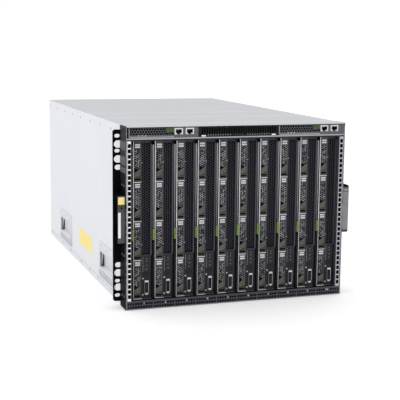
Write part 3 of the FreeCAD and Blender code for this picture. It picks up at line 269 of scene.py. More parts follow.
def plated(name, colour, dull, metallic, rough, spangle=6.0, shares=(0.5, 0.4, 0.15)):
    """Bare or plated metal: spangle, faint drawing lines, duller patches, by shares that can be set."""
    patch_share, dull_share, dull_rough = shares
    metal = Finish(name, metallic=metallic)
    patch = metal.flakes(spangle)
    drawn = metal.grain(0.5, stretch=(1, 1, 30))
    dulled = metal.patches(25, 0.45, 0.75)
    shade = metal.blend(patch_share * patch + dull_share * dulled, colour, dull)
    return metal.close(shade, rough + 0.1 * drawn + dull_rough * dulled, drawn, 0.01)


def lamp(name, colour, glow):
    """A small lens that is a little lit from behind."""
    lens = Finish(name, coat=0.6)
    clouded = lens.grain(0.8)
    shade = lens.blend(clouded * 0.3, colour, (255, 255, 255))
    lens.shade({"Emission Color": shade, "Emission Strength": glow})
    return lens.close(shade, 0.2 + 0.2 * clouded)


def sticker(name, colour, aged):
    """Printed paper label, blank, with faint fibres and rubbed patches."""
    paper = Finish(name)
    fibre = paper.grain(0.9, stretch=(4, 1, 1), detail=3)
    age = paper.patches(22, 0.42, 0.75)
    shade = paper.blend(age * 0.6 + fibre * 0.15, colour, aged)
    return paper.close(shade, 0.5 + 0.2 * fibre, fibre, 0.012)


# Finishes of one piece each

def case_paint(name, light, dark, streak):
    """The silver case: brushed along its length, dusty along the bottom edge, with a painted highlight along
    each of the beads on top.
    """
    paint = Finish(name, metallic=0.1, specular=0.3)
    cloud = paint.grain(120, detail=3)
    brushed = paint.grain(1.4, stretch=(1, 40, 1))
    dusty = paint.wear(paint.up * -1 + 9 * paint.grain(30, detail=4), -2, 9)
    # Painted highlight: pale bands along the beads across the top, where they catch the light.
    first, second, third = [paint.along.between(at, at + BEAD_WIDE) for at in COVER_BEADS]
    bead_highlight = (first | second | third) * (paint.up > CASE_TOP - 1.8)
    colour = paint.layers(
        dark, (cloud, light),
        (brushed * 0.25, streak),
        (dusty * 0.35, (176, 176, 178)),
        (bead_highlight * 0.9, (236, 237, 240)))
    return paint.close(colour, 0.42 + 0.14 * brushed + 0.1 * dusty, brushed, 0.012)


def grip_paint():
    """Side grips: the case's silver, darker towards the bottom, with painted shade and a painted sheen on
    the end wall of each cup and a painted highlight on its floor.
    """
    sheen_inner, sheen_outer, sheen_slope, sheen_end = 217.6, 221.8, 0.13, 226.0
    paint = Finish("grip_silver_enamel", specular=0.3)
    cloud = paint.grain(30, detail=4)
    aside = abs(paint.across)
    inside = aside < SIDE_WALL - 0.3
    from_front = (paint.along - CUP_FRONT + CUP_STEP) % CUP_STEP
    shaded_end_wall = inside * from_front.between(CUP_LONG - 0.6, CUP_LONG + 2.4)
    # Painted sheen: a pale wedge of light on the upper part of the end wall, towards the outside.
    sheen = aside.between(sheen_inner, sheen_outer) * (aside + sheen_slope * paint.up > sheen_end)
    # Darker towards the bottom of the plates.
    rim = (1 - inside) * paint.wear(paint.up - 12 * cloud, 44, 16)
    # Painted shade on the end wall, darkest deep inside the cup.
    shade = paint.blend(aside > sheen_outer, (58, 58, 62), (96, 96, 100))
    colour = paint.layers(
        (202, 203, 208), (cloud, (214, 215, 220)),
        (rim * 0.8, (160, 161, 167)),
        (shaded_end_wall, paint.blend(sheen, shade, (196, 196, 199))),
        # Painted highlight: the floor of each cup, bright as if lit from above.
        (inside * (paint.up < CUP_FLOOR), (250, 250, 252)))
    return paint.close(colour, 0.4 + 0.12 * cloud, paint.grain(1.1), 0.015)


def frame_paint():
    """Black frame whose rail above the blades is bare bright steel."""
    paint = Finish("black_frame_sheet", specular=0.12)
    cloud = paint.grain(40, detail=4)
    drawn = paint.grain(0.7, stretch=(30, 1, 1))
    rail = paint.up.between(RAIL_LOW, RAIL_TOP + 0.15) * (paint.along < BEZEL_FACE + 5)
    rail_edge = paint.up > RAIL_TOP - 2.3
    module_end = (paint.across > MODULE_END + 0.2) * (paint.up > RAIL_TOP)
    right_post = paint.across.between(212.5, 217.0) * paint.up.between(17, RAIL_LOW)
    under_cover = paint.up > CASE_TOP - 2.1
    black = paint.layers(
        (9, 9, 11), (cloud, (20, 20, 23)),
        (module_end, (98, 98, 104)),
        (right_post, (64, 64, 70)),
        (under_cover, paint.blend(cloud, (196, 198, 202), (206, 208, 212))))
    bare = paint.blend(0.7 * drawn + 0.3 * cloud, (150, 149, 154), (178, 177, 182))
    colour = paint.blend(rail, black, paint.blend(rail_edge, (40, 40, 44), bare))
    return paint.close(colour, 0.5 - 0.12 * rail + 0.1 * drawn, paint.grain(0.9), 0.02)


def strip_paint():
    """Bright vent strips beside the blades, and the black grille along the bottom, as one finish. Painted
    light and shade on the strips: the right strip is darker, the left strip's outer edge lit and inner edge
    shaded, the right strip's the other way about.
    """
    paint = Finish("vent_strip_sheet", specular=0.12)
    cloud = paint.grain(30, detail=4)
    drawn = paint.grain(0.7, stretch=(1, 1, 30))
    aside = abs(paint.across)
    right = paint.across > 0
    bright = (aside > 214.4) * (paint.up > 17.4)
    columns = aside.between(214.9, 218.3) | aside.between(219.7, 223.1)
    rows = paint.up.between(2.8, 7.2) | paint.up.between(9.4, 13.8)
    corner_windows = columns * rows * (paint.along < BEZEL_FACE + 0.3)
    black = paint.layers(
        (58, 57, 64), (cloud, (78, 77, 85)),
        (paint.up < 1.3, (150, 150, 155)),
        (corner_windows, (6, 6, 7)))
    zinc = paint.layers(
        (206, 206, 210), (0.5 * drawn + 0.5 * cloud, (240, 240, 243)),
        # Painted shade: the whole right strip darker than the left.
        (right * 0.75, (150, 150, 156)),
        # Painted light and shade on the strip edges: on the left the outer edge lit and the inner edge
        # shaded, on the right the other way about.
        (aside > 222.9, paint.blend(right, (172, 172, 177), (122, 122, 128))),
        (aside < 216.6, paint.blend(right, (62, 62, 67), (152, 152, 158))))
    colour = paint.blend(bright, black, zinc)
    return paint.close(colour, 0.48 - 0.1 * bright + 0.1 * drawn, paint.grain(1.2), 0.02)


def blade_paint():
    """Blade case: dark painted face, bare cage edges, zinc body behind, black ends under the rail."""
    paint = Finish("blade_case_steel", specular=0.13)
    cloud = paint.grain(35, detail=4)
    fine = paint.grain(0.9, detail=2)
    rubbed = paint.patches(5, 0.6, 0.72)
    inside = (paint.across - BLADE_LEFT) % BLADE_PITCH
    face = paint.along < BLADE_FACE + 2.2
    proud = paint.along < BLADE_FACE - 0.3
    # Painted shade: the face darkens towards the bottom.
    low_shade = paint.wear(paint.up + 30 * cloud, 190, 70)
    vent_level = VENT_LOW - 0.6
    vent_edge = (inside > VENT_RIGHT) * (paint.up > vent_level)
    under_rail = (inside > 36.5) * (paint.up > 317.5)
    cage = inside.between(-1, CAGE_RIGHT + 0.05) * (paint.along < BLADE_FACE + 20)
    channel = (inside < CHANNEL_RIGHT) | (inside > VENT_RIGHT) * (paint.up < vent_level)
    sunk = inside.between(FIELD_LEFT, FIELD_RIGHT) * paint.along.between(BLADE_FACE + 0.5, BLADE_FACE + 1.5)
    dark = paint.layers(
        (50, 49, 55), (cloud, (64, 63, 70)),
        (rubbed * 0.2, (96, 95, 102)),
        (low_shade * 0.68, (24, 24, 27)),
        (vent_edge * 0.75, (84, 83, 90)),
        (under_rail * 0.97, (6, 6, 8)),
        (cage * 0.4, (96, 96, 102)),
        (channel, (16, 16, 18)),
        (sunk, (5, 5, 6)))
    zinc = paint.blend(paint.flakes(6), (158, 159, 163), (169, 170, 174))
    colour = paint.layers(zinc, (face | cage, dark), (proud, (88, 88, 93)))
    return paint.close(colour, 0.42 + 0.16 * fine - 0.1 * rubbed, fine, 0.02)


def lever_paint():
    """Lever: satin grey, paler towards the pivot and in rubbed spots, black on its far side as painted shade
    in the gap by the cage edge, and black on its head.
    """
    paint = Finish("lever_satin_grey", specular=0.2)
    fine = paint.grain(0.7, detail=3)
    upper = paint.wear(paint.up + 40 * paint.grain(40), 180, 330)
    rubbed = paint.patches(4, 0.56, 0.7)
    inside = (paint.across - BLADE_LEFT) % BLADE_PITCH
    # Painted shade: black on the lever's far side, where the gap by the cage edge lies in shadow; black on
    # its head as well.
    shaded = (inside > 1.7) | (paint.up > 317)
    colour = paint.layers(
        (92, 91, 97), (upper, (164, 163, 168)),
        (rubbed * 0.3, (180, 180, 185)),
        (shaded, (9, 9, 11)))
    return paint.close(colour, 0.4 + 0.15 * fine, fine, 0.02)


def drive_paint():
    """Drive carrier: dark plastic front with a black sunk field, zinc body behind."""
    paint = Finish("drive_carrier_plastic", specular=0.2)
    fine = paint.grain(0.6, detail=3)
    body = paint.along > BLADE_FACE + 6
    sunk = paint.along.between(BLADE_FACE + 0.5, BLADE_FACE + 1.5)
    zinc = paint.blend(paint.flakes(5), (150, 151, 156), (162, 163, 168))
    colour = paint.layers(
        (44, 44, 47), (paint.grain(9, detail=4), (62, 62, 66)),
        (sunk, (5, 5, 6)),
        (body, zinc))
    return paint.close(colour, 0.45 + 0.15 * fine, fine, 0.02)


def mesh_paint():
    """Drive mesh: dark wire with bright speckles in cloudy patches."""
    wire = Finish("drive_mesh_wire", specular=0.3)
    bright_speckle = wire.wear(wire.grain(4, detail=2), 0.40, 0.60)
    colour = wire.blend(bright_speckle, (52, 52, 56), (156, 156, 158))
    return wire.close(colour, 0.5 - 0.15 * bright_speckle, bright_speckle, 0.02)


def ear_paint():
    """Rack ears: black enamel, bright along the leg's front edge and on top, with painted light on the leg's
    side: lighter towards its top and where it faces the notches.
    """
    paint = Finish("rack_ear_black", specular=0.02)
    cloud = paint.grain(60, detail=4)
    edge = HANDLE_FACE - 1.6
    leg_edge = (abs(paint.across) < 226.3) * (paint.along < edge)
    leg_side = (abs(paint.across) < 226.7) * paint.along.between(edge, -379)
    rubbed = leg_edge * paint.patches(9, 0.2, 0.6)
    height = paint.up + 3 * cloud
    # Heights on the leg's side that face the notches and slots, where painted light falls.
    beside = height.between(265.4, 275.4) | height.between(280.4, 296.4) | height.between(308.9, 325.4)
    colour = paint.layers(
        (6, 6, 8), (cloud, (18, 18, 20)),
        (rubbed | (paint.up > CASE_TOP - 0.3), (140, 140, 146)),
        # Painted light on the leg's side: lighter towards the top, and lighter still facing the notches.
        (leg_side * paint.wear(height, 235, 300) * 0.7, (62, 62, 67)),
        (leg_side * beside * 0.85, (96, 96, 101)))
    return paint.close(colour, 0.45 + 0.15 * cloud, paint.grain(1.0), 0.03)


def module_paint():
    """Management module: grey face, white port rims whose bottom edge keeps the grey of the face as painted
    shade, black insides, zinc body behind.
    """
    paint = Finish("module_grey_face", specular=0.25)
    cloud = paint.grain(14, detail=4)
    fine = paint.grain(0.8)
    inside = (paint.across - MODULE_LEFT) % MODULE_STEP
    left_port, right_port = [inside.between(at, at + PORT_WIDE) for at in PORTS]
    port = (left_port | right_port) * paint.up.between(336.3, 346.1)
    # The rims are white only above their bottom edge; that edge keeps the face's grey as painted shade.
    rim = (paint.along < MODULE_FACE - 0.3) * (paint.up > 336.2)
    behind = (paint.along > MODULE_FACE + 2) * (1 - port)
    colour = paint.layers(
        (78, 78, 84), (cloud, (98, 98, 104)),
        (rim, paint.blend(cloud, (186, 186, 188), (216, 216, 217))),
        (port * (paint.along > MODULE_FACE - 0.8), (8, 8, 9)),
        (behind, paint.blend(paint.flakes(6), (158, 159, 163), (170, 171, 175))))
    return paint.close(colour, 0.42 + 0.14 * fine, fine, 0.02)


def handle_paint():
    """Pull handles: black moulding whose front face is painted dark grey as painted light, lighter than the
    black sides.
    """
    plastic = Finish("pull_handle_black", specular=0.0)
    fine = plastic.grain(0.6, detail=3)
    rubbed = plastic.patches(18, 0.5, 0.75)
    # Painted light: the front face lighter than the rest of the black moulding.
    front = plastic.along < HANDLE_FACE + 0.4
    colour = plastic.blend(rubbed * 0.15, (10, 10, 11), (84, 84, 88))
    colour = plastic.blend(front, colour, plastic.blend(rubbed, (82, 80, 88), (88, 87, 93)))
    return plastic.close(colour, 0.5 + 0.12 * fine, fine, 0.05)


def board_paint():
    """Midplane board: green lacquer over copper tracks."""
    track_step = 4.0
    board = Finish("midplane_board", coat=0.3)
    from_track = abs((board.up + 3 * board.grain(20)) % track_step - track_step / 2)
    tracks = board.wear(from_track, 1.1, 1.3)
    colour = board.blend(tracks * 0.6, (12, 58, 34), (40, 96, 58))
    return board.close(colour, 0.35 + 0.2 * board.grain(8), tracks, 0.03)


def rotor_paint():
    """Fan rotor: black plastic with a paler dusty sweep on its vanes."""
    plastic = Finish("fan_rotor_plastic")
    dust = plastic.wear(plastic.grain(11, detail=5), 0.4, 0.75)
    colour = plastic.blend(dust * 0.4, (20, 20, 22), (82, 80, 78))
    return plastic.close(colour, 0.45 + 0.2 * dust, plastic.grain(0.7), 0.02)


silver = case_paint("silver_case_sheet", (221, 223, 228), (213, 215, 220), (200, 202, 208))
# The top cover: the case's silver painted darker than the sides, as painted shade on the less lit top.
cover_silver_shaded = case_paint("cover_grey_sheet", (202, 204, 208), (194, 196, 200), (182, 184, 189))
black_frame = frame_paint()
strip_zinc = strip_paint()
blade_steel = blade_paint()
lever_grey = lever_paint()
drive_plastic = drive_paint()
module_grey = module_paint()
board_green = board_paint()
rotor_black = rotor_paint()
grip_silver = grip_paint()
ear_black = ear_paint()
handle_black = handle_paint()
mesh_grey = mesh_paint()

rivet_grey = enamel("rivet_grey", (176, 177, 182), (158, 159, 164), 0.4, 0.01)
rim_silver = enamel("cup_rim_silver", (208, 209, 214), (190, 191, 196), 0.4, 0.01)
# A painted highlight for the bottom lip of each finger cup, and a painted shadow under it.
lip_highlight = enamel("cup_lip_white", (250, 250, 252), (238, 238, 241), 0.35, 0.01)
groove_shadow = enamel("cup_groove_grey", (116, 116, 120), (92, 92, 96), 0.5, 0.01, 0.2)
grille_black = enamel("centre_grille_black", (22, 28, 24), (11, 15, 13), 0.5, 0.02, 0.1)
vent_dark = enamel("vent_plate_dark", (64, 62, 72), (50, 49, 58), 0.46, 0.02, 0.15)
module_dark = enamel("module_comb_dark", (106, 106, 112), (84, 84, 90), 0.46, 0.02, 0.25)
hole_black = enamel("hole_black", (6, 6, 7), (3, 3, 4), 0.7, 0.01, 0.05)

latch_green = moulded("catch_green", (92, 118, 44), (128, 150, 76), 0.42, 0.03, 0.25)
tab_green = moulded("module_catch_green", (52, 74, 26), (98, 126, 62), 0.42, 0.03, 0.2)
guide_black = moulded("guide_rail_black", (24, 24, 26), (56, 56, 58), 0.55)
cover_black = moulded("blank_cover_black", (28, 28, 31), (42, 42, 46), 0.5, 0.03, 0.15)
panel_black = moulded("lamp_panel_black", (30, 30, 33), (50, 50, 54), 0.4, 0.03, 0.2)
light_bar = moulded("drive_bar_white", (191, 191, 193), (217, 217, 218), 0.4)
ramp_grey = moulded("drive_ramp_grey", (78, 78, 79), (104, 104, 105), 0.42, 0.03, 0.2)
ramp_green = moulded("drive_ramp_green", (54, 58, 43), (76, 82, 60), 0.42, 0.03, 0.2)
line_green = moulded("drive_line_green", (108, 121, 70), (138, 150, 100), 0.4)
ledge_grey = moulded("module_ledge_grey", (140, 140, 146), (176, 176, 182), 0.4)
dash_grey = moulded("lamp_dash_grey", (112, 112, 116), (146, 146, 150), 0.4)
figure_white = moulded("slot_number_white", (196, 196, 198), (226, 226, 226), 0.5)

bare_edge = plated("bare_cage_edge", (224, 222, 225), (186, 185, 189), 0.15, 0.36, shares=(0.0, 1.0, 0.1))
jack_dark = plated("jack_dark_nickel", (70, 70, 74), (40, 40, 44), 0.5, 0.35, 3.0)
nickel = plated("socket_nickel", (196, 196, 198), (150, 150, 154), 0.4, 0.26, 3.0)
rear_zinc = plated("rear_zinc_sheet", (184, 186, 191), (164, 166, 171), 0.5, 0.38)
screw_zinc = plated("screw_zinc", (214, 214, 216), (160, 160, 164), 0.6, 0.28, 2.0)

teal_dot = lamp("teal_dot", (62, 104, 98), 0.05)
green_lamp = lamp("green_lamp", (110, 190, 90), 0.5)
clear_lamp = lamp("clear_lamp", (96, 98, 102), 0.0)
amber_lamp = lamp("amber_lamp", (210, 150, 60), 0.3)

yellow_label = sticker("yellow_label", (238, 215, 128), (239, 222, 156))
pale_label = sticker("pale_label", (232, 232, 234), (206, 206, 208))
grey_label = sticker("grey_label", (128, 128, 133), (110, 110, 115))

DRESSED = {
    silver: ["base_panel", "side_panels"],
    cover_silver_shaded: ["top_cover"],
    grip_silver: ["side_grips"],
    black_frame: ["front_frame"],
    strip_zinc: ["front_grilles"],
    grille_black: ["center_grille"],
    ear_black: ["rack_ears"],
    handle_black: ["pull_handles"],
    jack_dark: ["esd_jack"],
    guide_black: ["blade_guides"],
    board_green: ["midplane"],
    rear_zinc: ["rear_frame", "io_slot_blanks", "fan_tray_left", "fan_tray_right"]
    + [f"power_supply_{n + 1}" for n in range(SUPPLY_COUNT)],
    blade_steel: numbered("blade", BLADE_COUNT),
    lever_grey: numbered("lever", BLADE_COUNT),
    latch_green: numbered("latch", BLADE_COUNT),
    tab_green: ["module_catch_left", "module_catch_right"],
    drive_plastic: numbered("drive", DRIVE_COUNT),
    module_grey: ["management_module_left", "management_module_right"],
    rotor_black: ["fan_rotor_left", "fan_rotor_right"],
}
for material, names in DRESSED.items():
    for name in names:
        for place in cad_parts[name].material_slots:
            place.material = material


def placed(name, data):
    """A new object in the scene."""
    thing = bpy.data.objects.new(name, data)
    bpy.context.scene.collection.objects.link(thing)
    return thing


def plain_mesh(holder):
    """What an object shows, as a plain mesh. The object and its modifiers go."""
    shown = holder.evaluated_get(bpy.context.evaluated_depsgraph_get())
    mesh = bpy.data.meshes.new_from_object(shown)
    holder.modifiers.clear()
    bpy.data.objects.remove(holder)
    return mesh


class Pattern(Tree):
    """A geometry tree for something that repeats, with named inputs for its lengths, counts and angles."""

    def __init__(self, name, lengths, counts=(), angles=()):
        super().__init__(bpy.data.node_groups.new(name, "GeometryNodeTree"))
        self.lengths = lengths
        self.keys = {}
        face = self.graph.interface
        for kind, names in (("Geometry", ["Points"]), ("Float", (*lengths, *angles)), ("Int", counts)):
            for size in names:
                socket = face.new_socket(name=size, in_out="INPUT", socket_type=f"NodeSocket{kind}")
                self.keys[size] = socket.identifier
        face.new_socket(name="Mesh", in_out="OUTPUT", socket_type="NodeSocketGeometry")
        self.inlet = self.node("NodeGroupInput")

    def sizes(self, *names):
        return [Grade(self, self.inlet.outputs[name]) for name in names]

    def vector(self, x=0.0, y=0.0, z=0.0):
        return self.node("ShaderNodeCombineXYZ", {0: x, 1: y, 2: z})

    def moved(self, geometry, **sockets):
        return self.node("GeometryNodeTransform", {"Geometry": geometry, **sockets})

    def circle(self, corners, radius):
        sockets = {"Resolution": corners, "Radius": radius}
        return self.node("GeometryNodeCurvePrimitiveCircle", sockets, mode="RADIUS")

    def swept(self, curve, section, caps=False):
        sockets = {"Curve": curve, "Profile Curve": section, "Fill Caps": caps}
        return self.node("GeometryNodeCurveToMesh", sockets)

    def spread(self, points, piece, **sockets):
        return self.node("GeometryNodeInstanceOnPoints", {"Points": points, "Instance": piece, **sockets})

    def close(self, *layers):
        """Realises each layer of instances, gives it its material and joins them all."""
        joined = self.node("GeometryNodeJoinGeometry")
        for instances, material in layers:
            real = self.node("GeometryNodeRealizeInstances", {0: instances})
            painted = self.node("GeometryNodeSetMaterial", {"Geometry": real, "Material": material})
            self.feed(joined.inputs[0], painted)
        self.node("NodeGroupOutput", {0: joined})
        return self

    def make(self, points=(), **sizes):
        """The pattern as a plain mesh in metres. Points and lengths are given in millimetres."""
        seed = bpy.data.meshes.new("seed")
        seed.from_pydata([Vector(point) * MM for point in points], [], [])
        holder = placed("pattern", seed)
        growth = holder.modifiers.new("pattern", "NODES")
        growth.node_group = self.graph
        for name, value in sizes.items():
            growth[self.keys[name]] = value * MM if name in self.lengths else value
        mesh = plain_mesh(holder)
        bpy.data.meshes.remove(seed)
        return mesh


def honeycomb_pattern(name, material):
    """Six-sided rings side by side, upright, centred on the origin, facing -Y, leant over by an angle."""
    comb = Pattern(name, ["Pitch", "Wall", "Thickness"], ["Columns", "Rows"], ["Lean"])
    pitch, wall, thickness, columns, rows, lean = comb.sizes(
        "Pitch", "Wall", "Thickness", "Columns", "Rows", "Lean")
    row_step = pitch * (math.sqrt(3) / 2)
    wide = (columns - 1) * pitch
    tall = (rows - 1) * row_step
    grid = comb.node("GeometryNodeMeshGrid", {
        "Size X": wide, "Size Y": tall, "Vertices X": columns, "Vertices Y": rows})
    place = comb.node("ShaderNodeSeparateXYZ", {0: comb.node("GeometryNodeInputPosition")})
    row = round((Grade(comb, place.outputs[1]) + tall / 2) / row_step)
    shift = comb.vector((row % 2 - 0.5) * (pitch / 2))
    shifted = comb.node("GeometryNodeSetPosition", {"Geometry": grid, "Offset": shift})
    upright = comb.moved(shifted, Rotation=(QUARTER, 0, 0))
    ring = comb.circle(6, (pitch / 2 - wall / 4) * (2 / math.sqrt(3)))
    bar = comb.node("GeometryNodeCurvePrimitiveQuadrilateral", {
        "Width": wall / math.sqrt(3), "Height": thickness})
    cell = comb.moved(comb.swept(ring, bar), Rotation=(QUARTER, math.pi / 6, 0))
    cells = comb.spread(upright, cell)
    return comb.close((comb.moved(cells, Rotation=comb.vector(y=lean)), material))


def head_pattern(name, material, slot_material=None):
    """Fastener heads on points: a stepped round head, with a slot across it if that has a material."""
    top_share, slot_long, slot_wide, slot_tall, slot_lift, slot_turn = 0.72, 1.15, 0.22, 0.3, 0.9, 0.6
    heads = Pattern(name, ["Radius", "Height"], angles=["Tilt", "Turn"])
    points, radius, height, tilt, turn = heads.sizes("Points", "Radius", "Height", "Tilt", "Turn")
    facing = heads.vector(tilt, 0.0, turn)
    cone = heads.node("GeometryNodeMeshCone", {
        "Vertices": 12, "Radius Top": radius * top_share, "Radius Bottom": radius, "Depth": height})
    layers = [(heads.spread(points, cone, Rotation=facing), material)]
    if slot_material is not None:
        size = heads.vector(radius * slot_long, radius * slot_wide, height * slot_tall)
        bar = heads.node("GeometryNodeMeshCube", {"Size": size})
        slot = heads.moved(bar, Translation=heads.vector(z=height * slot_lift), Rotation=(0, 0, slot_turn))
        layers.append((heads.spread(points, slot, Rotation=facing), slot_material))
    return heads.close(*layers)


def bar_pattern(name, material):
    """Upright bars of an eight-sided section, one on each point."""
    bars = Pattern(name, ["Wide", "Deep", "Tall"])
    points, wide, deep, tall = bars.sizes("Points", "Wide", "Deep", "Tall")
    section = bars.moved(bars.circle(8, 0.5), Scale=bars.vector(wide, deep, 1.0))
    half = tall / 2
    line = bars.node("GeometryNodeCurvePrimitiveLine", {
        "Start": bars.vector(z=half * -1), "End": bars.vector(z=half)})
    return bars.close((bars.spread(points, bars.swept(line, section, caps=True)), material))


def guard_pattern(name, material):
    """Fan guard: wire rings one inside the other, upright, centred on the origin."""
    guard = Pattern(name, ["Inner", "Step", "Wire"], ["Rings"])
    inner, ring_step, wire, count = guard.sizes("Inner", "Step", "Wire", "Rings")
    line = guard.node("GeometryNodeMeshLine", {"Count": count, "Offset": (0, 0, 0)})
    number = Grade(guard, guard.node("GeometryNodeInputIndex").outputs[0])
    radius = inner + number * ring_step
    circle = guard.moved(guard.circle(48, 1.0), Rotation=(QUARTER, 0, 0))
    rings = guard.spread(line, circle, Scale=guard.vector(radius, radius, radius))
    loose = guard.node("GeometryNodeRealizeInstances", {0: rings})
    return guard.close((guard.swept(loose, guard.circle(8, wire)), material))


FRONT_WAY = {"Tilt": QUARTER, "Turn": 0.0}
REAR_WAY = {"Tilt": -QUARTER, "Turn": 0.0}
SIDE_WAYS = {-1: {"Tilt": QUARTER, "Turn": -QUARTER}, 1: {"Tilt": QUARTER, "Turn": QUARTER}}

vent_comb = honeycomb_pattern("vent_comb", vent_dark)
drive_comb = honeycomb_pattern("drive_comb", mesh_grey)
module_comb = honeycomb_pattern("module_comb", module_dark)
supply_comb = honeycomb_pattern("supply_comb", rear_zinc)
screws = head_pattern("screw_heads", screw_zinc, hole_black)
grey_screws = head_pattern("grey_screws", module_dark, hole_black)
rivets = head_pattern("rivet_heads", rivet_grey)
steel_studs = head_pattern("steel_studs", screw_zinc)
green_lamps = head_pattern("green_lamps", green_lamp)
amber_lamps = head_pattern("amber_lamps", amber_lamp)
clear_lamps = head_pattern("clear_lamps", clear_lamp)
teal_dots = head_pattern("teal_dots", teal_dot)
sill_bars = bar_pattern("sill_bars", strip_zinc)
dash_bars = bar_pattern("lamp_dashes", dash_grey)
fan_wires = guard_pattern("fan_wires", screw_zinc)


def about(middle, half):
    """The two sides of something so wide on each side of a middle."""
    return middle - half, middle + half


def rectangle(sides, levels):
    """The corners of a rectangle between two sides and two levels."""
    (left, right), (bottom, top) = sides, levels
    return [(left, bottom), (right, bottom), (right, top), (left, top)]


def rounded(sides, levels, radius, steps=5):
    """Points of a rectangle with round corners."""
    (left, right), (bottom, top) = sides, levels
    points = []
    for turn, (a, b) in enumerate(((right, top), (left, top), (left, bottom), (right, bottom))):
        a -= radius if a == right else -radius
        b -= radius if b == top else -radius
        for k in range(steps + 1):
            angle = QUARTER * (turn + k / steps)
            points.append((a + radius * math.cos(angle), b + radius * math.sin(angle)))
    return points


class Form:
    """A mesh made in millimetres from closed shells and patterns, all measured from a start point."""

    def __init__(self, start):
        self.shape = bmesh.new()
        self.finishes = []
        self.start = Vector(start)

    def beside(self, across, up=0.0):
        """The same form, measured from further across and up."""
        other = copy.copy(self)
        other.start = self.start + Vector((across, 0.0, up))
        return other

    def index(self, material):
        if material not in self.finishes:
            self.finishes.append(material)
        return self.finishes.index(material)

    def skin(self, rings, material, edge=0.0, hollow=False):
        """A closed shell over rings of points, capped at its ends or joined round, with broken edges."""
        rings = [[self.shape.verts.new(self.start + Vector(spot)) for spot in ring] for ring in rings]
        caps = [] if hollow else [rings[0], rings[-1][::-1]]
        faces = [self.shape.faces.new(cap) for cap in caps]
        after = rings[1:] + rings[:1] if hollow else rings[1:]
        for one, two in zip(rings, after):
            for k in range(len(one)):
                n = (k + 1) % len(one)
                faces.append(self.shape.faces.new((one[k], two[k], two[n], one[n])))
        bmesh.ops.recalc_face_normals(self.shape, faces=faces)
        number = self.index(material)
        for face in faces:
            face.material_index = number
        if edge:
            edges = list({e for face in faces for e in face.edges})
            made = bmesh.ops.bevel(self.shape, geom=edges, offset=edge, segments=1, affect="EDGES")
            for face in made["faces"]:
                face.material_index = number

    def plate(self, outline, depths, material, edge=0.0, sideways=False):
        """A flat outline between two depths along y, or along x when it lies sideways."""
        rings = [[(d, a, b) if sideways else (a, d, b) for a, b in outline] for d in depths]
        self.skin(rings, material, edge)

    def ring(self, outer, inner, depths, material):
        """A flat frame on a side wall: two outlines of (along, up) points, as many in each."""
        back, front = depths
        loops = ((outer, back), (outer, front), (inner, front), (inner, back))
        self.skin([[(depth, a, b) for a, b in outline] for outline, depth in loops], material, hollow=True)

    def block(self, sides, depths, levels, material, edge=0.25):
        """A block between two sides, two depths and two levels."""
        self.plate(rectangle(sides, levels), depths, material, edge)

    def raised(self, sides, proud, levels, material, edge=0.25):
        """A block that stands so far out of the face towards the front."""
        self.block(sides, (-proud, 0.0), levels, material, edge)

    def turned(self, profile, middle, way, material, steps):
        """A turned piece: (radius, reach) points about an axis from the middle point along a way."""
        middle, axis = Vector(middle), Vector(way).normalized()
        side = axis.orthogonal().normalized()
        other = axis.cross(side)
        turns = [2 * math.pi * k / steps for k in range(steps)]
        spokes = [side * math.cos(turn) + other * math.sin(turn) for turn in turns]
        rings = [[middle + axis * reach + spoke * radius for spoke in spokes] for radius, reach in profile]
        self.skin(rings, material)

    def add(self, mesh, spot=(0, 0, 0)):
        """Takes in a pattern's mesh, moved to a spot in millimetres."""
        numbers = [self.index(material) for material in mesh.materials]
        mesh.polygons.foreach_set("material_index", [numbers[p.material_index] for p in mesh.polygons])
        mesh.transform(Matrix.Translation(self.start + Vector(spot)) @ Matrix.Scale(1 / MM, 4))
        self.shape.from_mesh(mesh)
        bpy.data.meshes.remove(mesh)

    def heads(self, pattern, spots, radius, height, way=FRONT_WAY):
        """A pattern's heads on these spots, facing a way."""
        self.add(pattern.make(spots, Radius=radius, Height=height, **way))

    def figure(self, text, height, spot, material):
        """A raised figure that faces the front, its middle at the spot."""
        letter_share, half_thick = 0.7, 0.15
        curve = bpy.data.curves.new("figure", "FONT")
        curve.body = text
        curve.size = height / letter_share * MM
        curve.extrude = half_thick * MM
        curve.resolution_u = 3
        curve.align_x = "CENTER"
        curve.align_y = "CENTER"
        curve.materials.append(material)
        mesh = plain_mesh(placed("figure", curve))
        mesh.transform(Matrix.Rotation(QUARTER, 4, "X"))
        self.add(mesh, spot)

    def mesh(self, name):
        """The finished mesh in metres."""
        made = bpy.data.meshes.new(name)
        self.shape.to_mesh(made)
        self.shape.free()
        made.transform(Matrix.Scale(MM, 4))
        for material in self.finishes:
            made.materials.append(material)
        return made


# Trim of the blades and drives, measured from the blade's left side and face

def cage_edges(form):
    """Bare edges of the drive cage: up its left side, along its foot and between the drives."""
    wide, narrow, thin = 1.2, 0.6, 1.1
    form.raised((CAGE_LEFT - wide, CAGE_LEFT), 1.4, (EDGE_STEP, BLADE_TOP - 0.3), bare_edge, 0.3)
    form.raised((CAGE_LEFT - narrow, CAGE_LEFT), 1.0, (BLADE_LOW, EDGE_STEP), bare_edge, 0.15)
    form.raised((CAGE_LEFT, CAGE_CORNER), 1.0, (BLADE_LOW, BLADE_LOW + wide), bare_edge)
    form.raised((CAGE_CORNER, 40.2), 0.5, (BLADE_LOW, BLADE_LOW + 1.0), module_dark, 0.2)
    for level in range(1, DRIVE_COUNT):
        under = DRIVE_LOW + DRIVE_PITCH * level - 1.45
        form.raised((CAGE_LEFT, CAGE_RIGHT), 0.6, (under, under + thin), bare_edge, 0.2)


